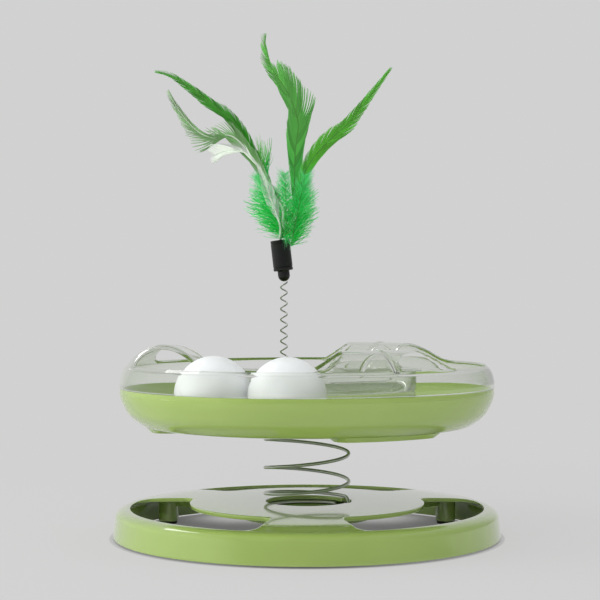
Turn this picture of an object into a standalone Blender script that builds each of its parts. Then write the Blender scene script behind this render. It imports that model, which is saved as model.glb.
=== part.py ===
"""Cat ball tower: a round base, a coil spring, a ball track with a clear cover, and a feather wand.

Blender 4.5, metres, +Z up. The origin is on the floor under the middle of the base.
The side that faces the viewer is -Y, and +X is to the right.
"""
import math

import bmesh
import bpy
import numpy as np
from mathutils import Matrix, Vector

MM = 0.001

# Whole object
fit_gap = 0.3 * MM
turn_steps = 60
small_turn_steps = 16
edge_round = 0.5 * MM
cut_overrun = 2.0 * MM
merge_distance = 0.001 * MM
pole_merge_distance = 0.01 * MM
sharp_angle = math.radians(35.0)
boss_steps = 16
pilot_steps = 12

# Base: an upturned dish with a crowned top and three kidney windows
base_radius = 107.0 * MM
base_shoulder_width = 9.0 * MM
base_top_radius = base_radius - base_shoulder_width
base_shoulder_height = 17.3 * MM
base_shoulder_drop = 5.2 * MM
base_crown_rise = 2.1 * MM
base_wall = 2.2 * MM
base_rim_lift = 0.8 * MM
base_rim_draft = 1.2 * MM
window_rim = 0.4 * MM
window_width = 32.6 * MM
window_outer_radius = base_top_radius - window_rim
window_inner_radius = window_outer_radius - window_width
window_half_angle = math.radians(44.5)
window_corner = 7.5 * MM
window_count = 3
window_first_angle = math.radians(90.0)
skirt_wall = 1.6 * MM
skirt_bottom = 10.5 * MM
spoke_rib_wall = 1.6 * MM
pad_radius = 5.0 * MM
pad_height = 1.4 * MM
pad_inset = 13.5 * MM
pad_reach = base_radius - pad_inset
pad_post_radius = 5.8 * MM

# Main spring
spring_radius = 23.2 * MM
spring_wire = 1.9 * MM
spring_turns = 4.32
spring_soft_turns = 0.35
spring_lower_dead_turns = 0.82
spring_upper_dead_turns = 0.55
spring_climb_turns = 0.12
spring_turn_steps = 24
spring_start_angle = math.radians(24.0)
spring_dead_slack = math.radians(4.0)
spring_self_gap_least = 0.4 * MM
base_hole_inset = 0.4 * MM
base_hole_radius = spring_radius - base_hole_inset

# Keepers that hold the ends of the spring, and their screws
keeper_wall = 2.0 * MM
keeper_inner_reach = 1.2 * MM
keeper_outer_reach = 9.0 * MM
keeper_inner_radius = spring_radius - keeper_inner_reach
keeper_outer_radius = spring_radius + keeper_outer_reach
skirt_margin = 3.8 * MM
skirt_radius = keeper_outer_radius + skirt_margin
keeper_corner = 1.5 * MM
lower_keeper_half_angle = math.radians(140.0)
upper_keeper_half_angle = math.radians(74.0)
screw_reach = 5.5 * MM
screw_circle = spring_radius + screw_reach
screw_shank_radius = 1.3 * MM
screw_head_radius = 2.6 * MM
screw_head_height = 1.6 * MM
screw_boss_radius = 3.2 * MM
screw_skin = 1.2 * MM
lower_screw_angles = [math.radians(a) for a in (75.0, 180.0, 285.0)]
upper_screw_spread = math.radians(52.0)

# Balls
ball_radius = 20.0 * MM
ball_angles = [math.radians(a) for a in (234.0, 263.0)]
ball_floor_gap = 0.3 * MM
ball_hub_gap = 1.0 * MM
ball_side_gap = 0.6 * MM

# Tray: a round channel with a raised hub
tray_radius = 103.5 * MM
tray_wall = 1.4 * MM
track_width = 2.0 * ball_radius + ball_hub_gap + ball_side_gap
track_inner_radius = tray_radius - tray_wall - track_width
ball_track_radius = track_inner_radius + ball_hub_gap + ball_radius
track_floor_height = 62.0 * MM
track_depth = 20.4 * MM
seam_height = track_floor_height + track_depth
hub_roof_drop = 1.2 * MM
hub_roof_height = seam_height - hub_roof_drop
hub_roof_wall = 2.2 * MM
hub_rib_count = 6
hub_rib_depth = 5.2 * MM
hub_fillet = 2.5 * MM
tray_side_shares = (
    (1.0, 1.0), (0.998, 0.84), (0.988, 0.67), (0.963, 0.42), (0.94, 0.28),
    (0.907, 0.15), (0.868, 0.04), (0.82, 0.0)
)
lobe_inner_margin = 4.5 * MM
lobe_outer_margin = 15.5 * MM
lobe_inner_radius = track_inner_radius + lobe_inner_margin
lobe_outer_radius = tray_radius - lobe_outer_margin
lobe_half_angle = math.radians(20.0)
lobe_corner = 9.0 * MM
lobe_depth = 1.3 * MM
lobe_arc_steps = 8
hood_angles = [math.radians(a) for a in (57.0, 177.0, 297.0)]

# Clear cover over the track
cover_wall = 1.6 * MM
cover_depth = 12.8 * MM
rim_height = seam_height + cover_depth
rim_inset = 4.1 * MM
rim_radius = tray_radius - rim_inset
hood_rise = 10.1 * MM
hood_inner_margin = 0.3 * MM
hood_outer_margin = 3.5 * MM
hood_inner_radius = track_inner_radius + hood_inner_margin
hood_outer_radius = tray_radius - hood_outer_margin
hood_flat_half_angle = math.radians(17.0)
hood_foot_half_angle = math.radians(29.0)
hood_power = 0.8
opening_inner_margin = 2.9 * MM
opening_outer_margin = 1.0 * MM
opening_inner_radius = track_inner_radius + opening_inner_margin
opening_outer_radius = rim_radius - opening_outer_margin
opening_half_angle = math.radians(45.5)
opening_corner = 16.5 * MM
cover_steps = 72
cover_side_shares = ((1.0, 0.0), (0.999, 0.3), (0.991, 0.62), (0.976, 0.88))

# Wand: plug in the hub, wire spring, ferrule and feathers
wand_offset = -12.8 * MM
plug_boss_rise = 1.0 * MM
plug_radius = 2.7 * MM
plug_depth = 6.0 * MM
plug_flange_radius = 4.2 * MM
plug_flange_height = 1.2 * MM
plug_dome_radius = 2.4 * MM
wand_spring_radius = 1.8 * MM
wand_wire = 0.8 * MM
wand_spring_turns = 7
wand_turn_steps = 10
wand_reach = 45.9 * MM
ferrule_tip_height = rim_height + wand_reach
ferrule_neck_radius = 3.3 * MM
ferrule_neck_length = 6.0 * MM
ferrule_radius = 5.4 * MM
ferrule_length = 17.0 * MM
ferrule_bore_radius = 4.2 * MM
ferrule_bore_depth = 5.0 * MM
ferrule_tilt = math.radians(-6.5)
plume_thickness = 0.9 * MM
plume_layer = 1.6 * MM
plume_tip_half = 0.4 * MM
plume_steps = 18
fan_start_share = 0.6
quill_bore_gap = 1.4 * MM
feather_span = 100.0 * MM

# Feathers as shares of their span: x and height from the middle of the ferrule's mouth, and the vane's width
plumes = {
    "plume_centre": {
        "route_shares": [
            (0.035, 0.04), (0.065, 0.16), (0.094, 0.28), (0.097, 0.42),
            (0.095, 0.61), (0.028, 0.75), (-0.056, 0.92), (-0.094, 1.084),
            (-0.083, 1.168),
        ],
        "width_shares": [0.011, 0.012, 0.02, 0.04, 0.09, 0.15, 0.11, 0.08, 0.05, 0.01],
        "layer": 1,
        "fan_share": 0.45,
    },
    "plume_right": {
        "route_shares": [
            (0.04, 0.04), (0.07, 0.16), (0.111, 0.28), (0.167, 0.36),
            (0.278, 0.51), (0.389, 0.657), (0.511, 0.807), (0.611, 0.946),
        ],
        "width_shares": [0.011, 0.012, 0.02, 0.04, 0.075, 0.09, 0.09, 0.065, 0.01],
        "layer": 0,
        "fan_share": -0.3,
    },
    "plume_left_long": {
        "route_shares": [
            (0.02, 0.04), (0.012, 0.16), (0.0, 0.25), (-0.067, 0.39),
            (-0.139, 0.53), (-0.222, 0.67), (-0.361, 0.762), (-0.472, 0.846),
            (-0.583, 0.907), (-0.694, 0.946),
        ],
        "width_shares": [0.011, 0.012, 0.02, 0.04, 0.09, 0.12, 0.12, 0.1, 0.08, 0.06, 0.01],
        "layer": 2,
        "fan_share": 0.6,
    },
    "plume_left_curled": {
        "route_shares": [
            (0.012, 0.04), (-0.01, 0.16), (-0.056, 0.28), (-0.167, 0.446),
            (-0.306, 0.6), (-0.42, 0.645), (-0.51, 0.69), (-0.611, 0.807),
        ],
        "width_shares": [0.011, 0.012, 0.02, 0.04, 0.09, 0.13, 0.11, 0.08, 0.01],
        "layer": -1,
        "fan_share": -0.45,
    },
    "plume_white": {
        "route_shares": [
            (0.018, 0.04), (0.01, 0.14), (-0.025, 0.25), (-0.1, 0.36),
            (-0.22, 0.45), (-0.38, 0.52),
        ],
        "width_shares": [0.011, 0.012, 0.02, 0.05, 0.08, 0.09, 0.02],
        "layer": -2,
        "fan_share": 0.0,
    },
}
downs = {
    "down_front_left": {
        "middle_shares": (-0.12, -0.069, 0.26),
        "reach_shares": (0.1, 0.03, 0.2),
        "lean_degrees": -30.0,
    },
    "down_front_right": {
        "middle_shares": (0.12, -0.042, 0.23),
        "reach_shares": (0.09, 0.03, 0.2),
        "lean_degrees": 5.0,
    },
    "down_back": {
        "middle_shares": (0.03, 0.074, 0.24),
        "reach_shares": (0.17, 0.03, 0.2),
        "lean_degrees": 0.0,
    },
}
collection_name = "cat_ball_tower"


def clear_scene():
    for item in list(bpy.data.objects):
        bpy.data.objects.remove(item, do_unlink=True)


def make_collection(name):
    found = bpy.data.collections.get(name) or bpy.data.collections.new(name)
    if name not in bpy.context.scene.collection.children:
        bpy.context.scene.collection.children.link(found)
    return found


def material(name, colour, roughness, metallic=0.0, transmission=0.0):
    made = bpy.data.materials.new(name)
    made.use_nodes = True
    shader = made.node_tree.nodes["Principled BSDF"]
    shader.inputs["Base Color"].default_value = (*colour, 1.0)
    shader.inputs["Roughness"].default_value = roughness
    shader.inputs["Metallic"].default_value = metallic
    shader.inputs["Transmission Weight"].default_value = transmission
    return made


def add_object(name, data, collection, look=None, parent=None):
    made = bpy.data.objects.new(name, data)
    collection.objects.link(made)
    if look is not None:
        data.materials.append(look)
    if parent is not None:
        made.parent = parent
    return made


def add_empty(name, place, parent=None):
    made = bpy.data.objects.new(name, None)
    parts.objects.link(made)
    made.location = place
    if parent is not None:
        made.parent = parent
        made.location = Vector(place) - parent_place(parent)
    return made


def parent_place(item):
    place = Vector((0.0, 0.0, 0.0))
    while item is not None:
        place += item.location
        item = item.parent
    return place


def smooth(mesh):
    mesh.shade_smooth()
    mesh.set_sharp_from_angle(angle=sharp_angle)


def turned_mesh(name, profile, closed_loop, steps=turn_steps):
    """A profile of (radius, height) pairs turned round Z. At +X it runs down its outer side."""
    mesh = bpy.data.meshes.new(name)
    count = len(profile)
    edges = [(i, i + 1) for i in range(count - 1)]
    if closed_loop:
        edges.append((count - 1, 0))
    mesh.from_pydata([(r, 0.0, z) for r, z in profile], edges, [])
    turned = bpy.data.objects.new(name + "_profile", mesh)
    bpy.context.scene.collection.objects.link(turned)
    screw = turned.modifiers.new("turn", "SCREW")
    screw.steps = steps
    screw.render_steps = steps
    screw.use_merge_vertices = True
    screw.merge_threshold = pole_merge_distance
    screw.use_normal_calculate = False
    result = evaluated_mesh(turned, name)
    bpy.data.objects.remove(turned, do_unlink=True)
    return result


def evaluated_mesh(item, name):
    depsgraph = bpy.context.evaluated_depsgraph_get()
    result = bpy.data.meshes.new_from_object(item.evaluated_get(depsgraph))
    result.name = name
    return result


def outward(mesh, merge=merge_distance):
    work = bmesh.new()
    work.from_mesh(mesh)
    bmesh.ops.remove_doubles(work, verts=work.verts, dist=merge)
    bmesh.ops.recalc_face_normals(work, faces=work.faces)
    work.to_mesh(mesh)
    work.free()
    return mesh


def arc_points(centre, radius, start, end, count):
    angles = np.linspace(start, end, count)
    return [(centre[0] + radius * math.cos(a), centre[1] + radius * math.sin(a)) for a in angles]


def kidney_outline(inner, outer, half_angle, corner, centre_angle=0.0, arc_count=12, corner_count=4):
    """Ring sector with rounded corners, as (x, y) points that run anticlockwise."""
    outer_turn = half_angle - math.asin(corner / (outer - corner))
    inner_turn = half_angle - math.asin(corner / (inner + corner))
    right_angle = math.pi / 2.0

    def corner_centre(radius, turn):
        return (radius * math.cos(turn), radius * math.sin(turn))

    points = arc_points((0.0, 0.0), outer, -outer_turn, outer_turn, arc_count)
    middle = corner_centre(outer - corner, outer_turn)
    points += arc_points(middle, corner, outer_turn, half_angle + right_angle, corner_count)[1:]
    middle = corner_centre(inner + corner, inner_turn)
    points += arc_points(middle, corner, half_angle + right_angle, inner_turn + math.pi, corner_count)
    points += arc_points((0.0, 0.0), inner, inner_turn, -inner_turn, arc_count)[1:]
    middle = corner_centre(inner + corner, -inner_turn)
    points += arc_points(middle, corner, -inner_turn - math.pi, -half_angle - right_angle, corner_count)[1:]
    middle = corner_centre(outer - corner, -outer_turn)
    points += arc_points(middle, corner, -half_angle - right_angle, -outer_turn, corner_count)[:-1]
    turn = Matrix.Rotation(centre_angle, 2)
    return [tuple(turn @ Vector(p)) for p in points]


def prism_mesh(name, outline, bottom, top):
    """A flat outline carried from one height to another."""
    curve = bpy.data.curves.new(name, "CURVE")
    curve.dimensions = "2D"
    curve.fill_mode = "BOTH"
    curve.extrude = (top - bottom) / 2.0
    spline = curve.splines.new("POLY")
    spline.points.add(len(outline) - 1)
    for point, (x, y) in zip(spline.points, outline):
        point.co = (x, y, 0.0, 1.0)
    spline.use_cyclic_u = True
    flat = bpy.data.objects.new(name + "_outline", curve)
    bpy.context.scene.collection.objects.link(flat)
    result = evaluated_mesh(flat, name)
    bpy.data.objects.remove(flat, do_unlink=True)
    outward(result)
    result.transform(Matrix.Translation((0.0, 0.0, (top + bottom) / 2.0)))
    return result


def cylinder_mesh(name, radius, bottom, top, place=(0.0, 0.0), segments=16):
    work = bmesh.new()
    height = top - bottom
    bmesh.ops.create_cone(work, cap_ends=True, segments=segments, radius1=radius, radius2=radius,
                          depth=height)
    mesh = bpy.data.meshes.new(name)
    work.to_mesh(mesh)
    work.free()
    mesh.transform(Matrix.Translation((place[0], place[1], (top + bottom) / 2.0)))
    return mesh


def box_mesh(name, low, high, turn=0.0):
    work = bmesh.new()
    bmesh.ops.create_cube(work, size=1.0)
    mesh = bpy.data.meshes.new(name)
    work.to_mesh(mesh)
    work.free()
    size = [h - l for l, h in zip(low, high)]
    middle = [(h + l) / 2.0 for l, h in zip(low, high)]
    mesh.transform(Matrix.Diagonal((*size, 1.0)))
    mesh.transform(Matrix.Translation(middle))
    mesh.transform(Matrix.Rotation(turn, 4, "Z"))
    return mesh


def apply_booleans(name, body, steps):
    """Joins ("UNION") or cuts ("DIFFERENCE") the body with each mesh in turn, and leaves a plain mesh."""
    item = add_object(name + "_work", body, cutters)
    tools = []
    for kind, tool_mesh in steps:
        tool = add_object(name + "_tool", tool_mesh, cutters)
        tool.hide_render = True
        tool.display_type = "WIRE"
        modifier = item.modifiers.new(kind, "BOOLEAN")
        modifier.operation = kind
        modifier.solver = "EXACT"
        modifier.object = tool
        tools.append(tool)
    result = evaluated_mesh(item, name)
    for tool in [item] + tools:
        bpy.data.objects.remove(tool, do_unlink=True)
    return result


def at_polar(radius, angle):
    return (radius * math.cos(angle), radius * math.sin(angle))


def crown_height(radius):
    share = (radius - base_hole_radius) / (base_top_radius - base_hole_radius)
    return base_shoulder_height + base_crown_rise * (1.0 - share * share)


def shoulder_points(outer_radius, top_radius, top, drop, count):
    """Quarter ellipse from the flat top round to the side."""
    width = outer_radius - top_radius
    turns = np.linspace(0.0, math.pi / 2.0, count)
    return [(top_radius + width * math.sin(t), top - drop + drop * math.cos(t)) for t in turns]


def base_profile():
    crown_radii = np.linspace(base_hole_radius, base_top_radius, 6)
    side_radius = base_radius - base_rim_draft
    outer = [(r, crown_height(r)) for r in crown_radii[:-1]]
    outer += shoulder_points(side_radius, base_top_radius, base_shoulder_height, base_shoulder_drop, 7)
    outer += [(base_radius, base_rim_lift + edge_round), (base_radius - edge_round, base_rim_lift)]
    inner = [(base_radius - base_wall, base_rim_lift)]
    inner_side = side_radius - base_wall
    inner_top = base_shoulder_height - base_wall
    inner_drop = base_shoulder_drop - base_wall / 2.0
    inner_round = shoulder_points(inner_side, base_top_radius, inner_top, inner_drop, 4)
    inner += list(reversed(inner_round))
    inner += [(r, crown_height(r) - base_wall) for r in reversed(crown_radii[:-1])]
    return outer + inner


def base_under(radius):
    return crown_height(radius) - base_wall


def lower_dead_height():
    return base_under(base_hole_radius) - fit_gap - spring_wire / 2.0


def lower_keeper_top():
    return lower_dead_height() - spring_wire / 2.0 - fit_gap


def spring_start_height():
    return crown_height(base_hole_radius) + fit_gap + spring_wire / 2.0


def hub_under():
    return hub_roof_height - hub_roof_wall


def upper_dead_height():
    return hub_under() - fit_gap - spring_wire / 2.0


def upper_keeper_top():
    return upper_dead_height() - spring_wire / 2.0 - fit_gap


def upper_dead_angle():
    return spring_start_angle + spring_turns * math.tau


def upper_keeper_angle():
    return upper_dead_angle() + upper_keeper_half_angle + spring_dead_slack


def window_angles():
    return [window_first_angle + math.tau * k / window_count for k in range(window_count)]


def spoke_angles():
    return [a + math.pi / window_count for a in window_angles()]


def wire_climb_angles():
    return spring_start_angle - spring_climb_turns * math.tau, spring_start_angle


def make_base():
    body = turned_mesh("base_shell", base_profile(), True)
    steps = []
    skirt_top = base_under(skirt_radius) + base_wall / 2.0
    skirt = [
        (skirt_radius, skirt_top),
        (skirt_radius, skirt_bottom),
        (skirt_radius - skirt_wall, skirt_bottom),
        (skirt_radius - skirt_wall, skirt_top),
    ]
    steps.append(("UNION", turned_mesh("skirt", skirt, True, turn_steps)))
    for angle in spoke_angles():
        low = (skirt_radius - skirt_wall / 2.0, -spoke_rib_wall / 2.0, skirt_bottom)
        high = (pad_reach, spoke_rib_wall / 2.0, base_under(base_top_radius) + base_wall / 2.0)
        steps.append(("UNION", box_mesh("rib", low, high, angle)))
        post_bottom = pad_height + fit_gap
        post_top = base_under(pad_reach) + base_wall / 2.0
        post = cylinder_mesh("post", pad_post_radius, post_bottom, post_top, at_polar(pad_reach, angle))
        steps.append(("UNION", post))
    boss_bottom = lower_keeper_top() + fit_gap
    boss_top = base_under(screw_circle) + base_wall / 2.0
    for angle in lower_screw_angles:
        place = at_polar(screw_circle, angle)
        boss = cylinder_mesh("boss", screw_boss_radius, boss_bottom, boss_top, place, boss_steps)
        steps.append(("UNION", boss))
    for angle in window_angles():
        outline = kidney_outline(
            window_inner_radius, window_outer_radius, window_half_angle, window_corner, angle
        )
        low = base_under(window_outer_radius) - cut_overrun
        high = crown_height(base_hole_radius) + cut_overrun
        steps.append(("DIFFERENCE", prism_mesh("window", outline, low, high)))
    for angle in lower_screw_angles:
        pilot_top = crown_height(screw_circle) - screw_skin
        place = at_polar(screw_circle, angle)
        pilot = cylinder_mesh(
            "pilot", screw_shank_radius + fit_gap, boss_bottom - cut_overrun, pilot_top, place, pilot_steps
        )
        steps.append(("DIFFERENCE", pilot))
    start, end = wire_climb_angles()
    wire_room = spring_wire / 2.0 + fit_gap
    notch_half = (end - start) / 2.0 + 2.0 * wire_room / spring_radius
    outline = kidney_outline(
        base_hole_radius - cut_overrun,
        spring_radius + wire_room + fit_gap,
        notch_half,
        wire_room / 2.0,
        (start + end) / 2.0,
    )
    low = base_under(base_hole_radius) - cut_overrun
    high = crown_height(base_hole_radius) + cut_overrun
    steps.append(("DIFFERENCE", prism_mesh("notch", outline, low, high)))
    mesh = apply_booleans("base_shell", body, steps)
    smooth(mesh)
    return add_object("base_shell", mesh, parts, green)


def make_pads():
    for index, angle in enumerate(spoke_angles()):
        place = at_polar(pad_reach, angle)
        mesh = cylinder_mesh("pad", pad_radius, 0.0, pad_height, place, small_turn_steps)
        smooth(mesh)
        add_object("base_pad_%d" % (index + 1), mesh, parts, rubber)


def keeper_mesh(name, half_angle, centre_angle, bottom, screw_angles):
    outline = kidney_outline(
        keeper_inner_radius, keeper_outer_radius, half_angle, keeper_corner, centre_angle, 18, 3
    )
    body = prism_mesh(name, outline, bottom, bottom + keeper_wall)
    steps = []
    for angle in screw_angles:
        hole = cylinder_mesh(
            "hole",
            screw_shank_radius + fit_gap,
            bottom - cut_overrun,
            bottom + keeper_wall + cut_overrun,
            at_polar(screw_circle, angle),
            pilot_steps,
        )
        steps.append(("DIFFERENCE", hole))
    mesh = apply_booleans(name, body, steps)
    smooth(mesh)
    return mesh


def screw_mesh(name, head_top, shank_top, angle):
    """Pan-head screw that points up, its head under the keeper."""
    crown = screw_head_height / 3.0
    profile = [
        (0.0, shank_top),
        (screw_shank_radius / 2.0, shank_top),
        (screw_shank_radius, shank_top - screw_shank_radius),
        (screw_shank_radius, head_top),
        (screw_head_radius, head_top),
        (screw_head_radius, head_top - screw_head_height + crown),
        (screw_head_radius - crown, head_top - screw_head_height),
        (0.0, head_top - screw_head_height),
    ]
    mesh = outward(turned_mesh(name, profile, False, pilot_steps), pole_merge_distance)
    x, y = at_polar(screw_circle, angle)
    mesh.transform(Matrix.Translation((x, y, 0.0)))
    smooth(mesh)
    return mesh


def make_lower_keeper():
    bottom = lower_keeper_top() - keeper_wall
    start, end = wire_climb_angles()
    centre = (start + end) / 2.0 + math.pi
    mesh = keeper_mesh("lower_spring_keeper", lower_keeper_half_angle, centre, bottom, lower_screw_angles)
    add_object("lower_spring_keeper", mesh, parts, dark_plastic)
    for index, angle in enumerate(lower_screw_angles):
        shank_top = crown_height(screw_circle) - screw_skin - fit_gap
        mesh = screw_mesh("lower_screw", bottom - fit_gap, shank_top, angle)
        add_object("lower_screw_%d" % (index + 1), mesh, parts, steel)


def active_height(turns):
    """Share of the climb of the working turns, with a soft start and end."""
    soft = spring_soft_turns

    def travel(t):
        start_ease = soft * (1.0 - math.exp(-t / soft))
        end_ease = soft * (math.exp(-(spring_turns - t) / soft) - math.exp(-spring_turns / soft))
        return t - start_ease - end_ease

    return travel(turns) / travel(spring_turns)


def ease(share):
    return share * share * (3.0 - 2.0 * share)


def spring_path():
    """Centre line: a dead turn under the base, a climb through its notch, working turns, a dead end."""
    low_dead, low = lower_dead_height(), spring_start_height()
    high = upper_dead_height()
    total = spring_lower_dead_turns + spring_climb_turns + spring_turns + spring_upper_dead_turns
    count = int(round(total * spring_turn_steps))
    first = spring_start_angle - (spring_climb_turns + spring_lower_dead_turns) * math.tau
    points = []
    for index in range(count + 1):
        turns = total * index / count
        angle = first + turns * math.tau
        climbed = turns - spring_lower_dead_turns
        worked = climbed - spring_climb_turns
        if climbed <= 0.0:
            height = low_dead
        elif worked <= 0.0:
            height = low_dead + (low - low_dead) * ease(climbed / spring_climb_turns)
        elif worked <= spring_turns:
            height = low + (high - low) * active_height(worked)
        else:
            height = high
        x, y = at_polar(spring_radius, angle)
        points.append((x, y, height))
    return points


def least_gap(points, wire, skip):
    """Least distance between far points of a wire's centre line, less the wire."""
    line = np.array(points)
    least = 1.0
    for index in range(len(line) - skip):
        distance = np.linalg.norm(line[index + skip :] - line[index], axis=1)
        least = min(least, float(distance.min()))
    return least - wire


def wire_object(name, points, wire, look, resolution=1):
    curve = bpy.data.curves.new(name, "CURVE")
    curve.dimensions = "3D"
    curve.bevel_depth = wire / 2.0
    curve.bevel_resolution = resolution
    curve.use_fill_caps = True
    spline = curve.splines.new("POLY")
    spline.points.add(len(points) - 1)
    for point, place in zip(spline.points, points):
        point.co = (*place, 1.0)
    return add_object(name, curve, parts, look)


def make_main_spring():
    points = spring_path()
    gap = least_gap(points, spring_wire, spring_turn_steps // 2)
    print("main spring least gap to itself, mm:", round(gap / MM, 2), gap > spring_self_gap_least)
    return wire_object("main_spring", points, spring_wire, steel)


def tray_profile():
    depth = seam_height - track_floor_height + tray_wall
    floor_under = track_floor_height - tray_wall
    outer = [(tray_radius * r, floor_under + depth * z) for r, z in tray_side_shares]
    roof_under = hub_under()
    inner_wall = track_inner_radius - tray_wall
    under = [
        (track_inner_radius + hub_fillet, floor_under),
        (inner_wall, floor_under),
        (inner_wall - tray_wall / 2.0, roof_under),
        (0.0, roof_under),
    ]
    top = [
        (0.0, hub_roof_height),
        (track_inner_radius - hub_fillet, hub_roof_height),
        (track_inner_radius - hub_fillet / 3.0, hub_roof_height - hub_fillet / 3.0),
        (track_inner_radius, hub_roof_height - hub_fillet),
        (track_inner_radius, track_floor_height + hub_fillet),
        (track_inner_radius + hub_fillet / 3.0, track_floor_height + hub_fillet / 3.0),
        (track_inner_radius + hub_fillet, track_floor_height),
    ]
    inside = []
    for index, (r, z) in enumerate(reversed(tray_side_shares)):
        slope = min(1.0, index / 3.0)
        radius = tray_radius * r - tray_wall * slope
        height = floor_under + depth * z + tray_wall * (1.0 - slope)
        inside.append((radius, height))
    inside[-1] = (tray_radius - tray_wall, seam_height)
    return top + inside + outer + under


def make_tray(parent):
    body = outward(turned_mesh("tray", tray_profile(), False), pole_merge_distance)
    steps = []
    floor_under = track_floor_height - tray_wall
    for angle in hood_angles:
        outline = kidney_outline(
            lobe_inner_radius, lobe_outer_radius, lobe_half_angle, lobe_corner, angle, lobe_arc_steps
        )
        lobe = prism_mesh("lobe", outline, floor_under - lobe_depth, floor_under + tray_wall / 2.0)
        steps.append(("UNION", lobe))
    boss_bottom = upper_keeper_top() + fit_gap
    roof_middle = hub_under() + hub_roof_wall / 2.0
    screw_angles = upper_screw_angles()
    for angle in screw_angles:
        place = at_polar(screw_circle, angle)
        boss = cylinder_mesh("boss", screw_boss_radius, boss_bottom, roof_middle, place, boss_steps)
        steps.append(("UNION", boss))
    for index in range(hub_rib_count):
        low = (keeper_outer_radius + cut_overrun, -spoke_rib_wall / 2.0, hub_under() - hub_rib_depth)
        high = (track_inner_radius - tray_wall / 2.0, spoke_rib_wall / 2.0, roof_middle)
        steps.append(("UNION", box_mesh("rib", low, high, math.tau * index / hub_rib_count)))
    for angle in screw_angles:
        pilot_top = hub_roof_height - screw_skin
        place = at_polar(screw_circle, angle)
        pilot = cylinder_mesh(
            "pilot", screw_shank_radius + fit_gap, boss_bottom - cut_overrun, pilot_top, place, pilot_steps
        )
        steps.append(("DIFFERENCE", pilot))
    mesh = apply_booleans("tray", body, steps)
    smooth(mesh)
    return place_on(add_object("tray", mesh, parts, green), parent)


def upper_screw_angles():
    middle = upper_keeper_angle()
    return [middle - upper_screw_spread, middle + upper_screw_spread]


def make_upper_keeper(parent):
    bottom = upper_keeper_top() - keeper_wall
    angles = upper_screw_angles()
    mesh = keeper_mesh("upper_spring_keeper", upper_keeper_half_angle, upper_keeper_angle(), bottom, angles)
    place_on(add_object("upper_spring_keeper", mesh, parts, dark_plastic), parent)
    for index, angle in enumerate(angles):
        shank_top = hub_roof_height - screw_skin - fit_gap
        mesh = screw_mesh("upper_screw", bottom - fit_gap, shank_top, angle)
        place_on(add_object("upper_screw_%d" % (index + 1), mesh, parts, steel), parent)


def place_on(item, parent):
    """Parents an object to an empty on its joint's axis, with the object where it was."""
    shift = parent_place(parent)
    item.data.transform(Matrix.Translation(-shift))
    item.parent = parent
    return item


def hood_lift(radius, angle):
    """How far the cover rises over the track: an arch across it, with a level crest along it."""
    across = (radius - hood_inner_radius) / (hood_outer_radius - hood_inner_radius)
    if across <= 0.0 or across >= 1.0:
        return 0.0
    arch = math.sin(math.pi * across) ** hood_power
    lift = 0.0
    for middle in hood_angles:
        away = abs((angle - middle + math.pi) % math.tau - math.pi)
        fall = (hood_foot_half_angle - away) / (hood_foot_half_angle - hood_flat_half_angle)
        lift = max(lift, ease(min(1.0, max(0.0, fall))))
    return hood_rise * arch * lift


def cover_profile():
    """Middle sheet of the cover: up the outer wall, over the rim, across the track and down the hub."""
    half = cover_wall / 2.0
    foot = seam_height + fit_gap
    top = rim_height - half
    side = [((tray_radius - half) * r, foot + (top - foot) * z) for r, z in cover_side_shares]
    across = [(float(r), top) for r in np.linspace(rim_radius - half, hood_inner_radius + half, 10)]
    hub_foot = hub_roof_height + fit_gap
    inner = [(track_inner_radius - half, hub_foot)]
    return side, across, inner


def make_cover(parent):
    side, across, inner = cover_profile()
    profile = inner + list(reversed(across)) + list(reversed(side))
    sheet = turned_mesh("cover_sheet", profile, False, cover_steps)
    for vertex in sheet.vertices:
        x, y, z = vertex.co
        if z > rim_height - cover_wall:
            vertex.co.z += hood_lift(math.hypot(x, y), math.atan2(y, x))
    plate_radius = hood_inner_radius + cover_wall / 2.0
    plate_under = rim_height - cover_wall
    hub = cylinder_mesh("hub_plate", plate_radius, plate_under, rim_height, (0.0, 0.0), cover_steps)
    work = add_object("cover_work", sheet, cutters)
    solid = work.modifiers.new("wall", "SOLIDIFY")
    solid.thickness = cover_wall
    solid.offset = 0.0
    solid.use_even_offset = True
    body = evaluated_mesh(work, "track_cover")
    bpy.data.objects.remove(work, do_unlink=True)
    outward(body)
    steps = [("UNION", hub)]
    for middle in hood_angles:
        angle = middle + math.pi / len(hood_angles)
        outline = kidney_outline(
            opening_inner_radius, opening_outer_radius, opening_half_angle, opening_corner, angle, 12, 6
        )
        high = rim_height + hood_rise + cut_overrun
        steps.append(("DIFFERENCE", prism_mesh("opening", outline, seam_height + cut_overrun, high)))
    boss = cylinder_mesh(
        "boss", plug_flange_radius + cover_wall, rim_height - cover_wall / 2.0,
        plug_flange_bottom() - fit_gap, (wand_offset, 0.0), boss_steps
    )
    steps.append(("UNION", boss))
    socket = cylinder_mesh(
        "socket", plug_radius + fit_gap, rim_height - cover_wall - cut_overrun,
        plug_flange_bottom() + cut_overrun, (wand_offset, 0.0), small_turn_steps
    )
    steps.append(("DIFFERENCE", socket))
    mesh = apply_booleans("track_cover", body, steps)
    smooth(mesh)
    return place_on(add_object("track_cover", mesh, parts, clear_plastic), parent)


def plug_flange_bottom():
    return rim_height + plug_boss_rise + fit_gap


def plug_dome_height():
    return plug_flange_bottom() + plug_flange_height - plug_dome_radius / 2.0


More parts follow.
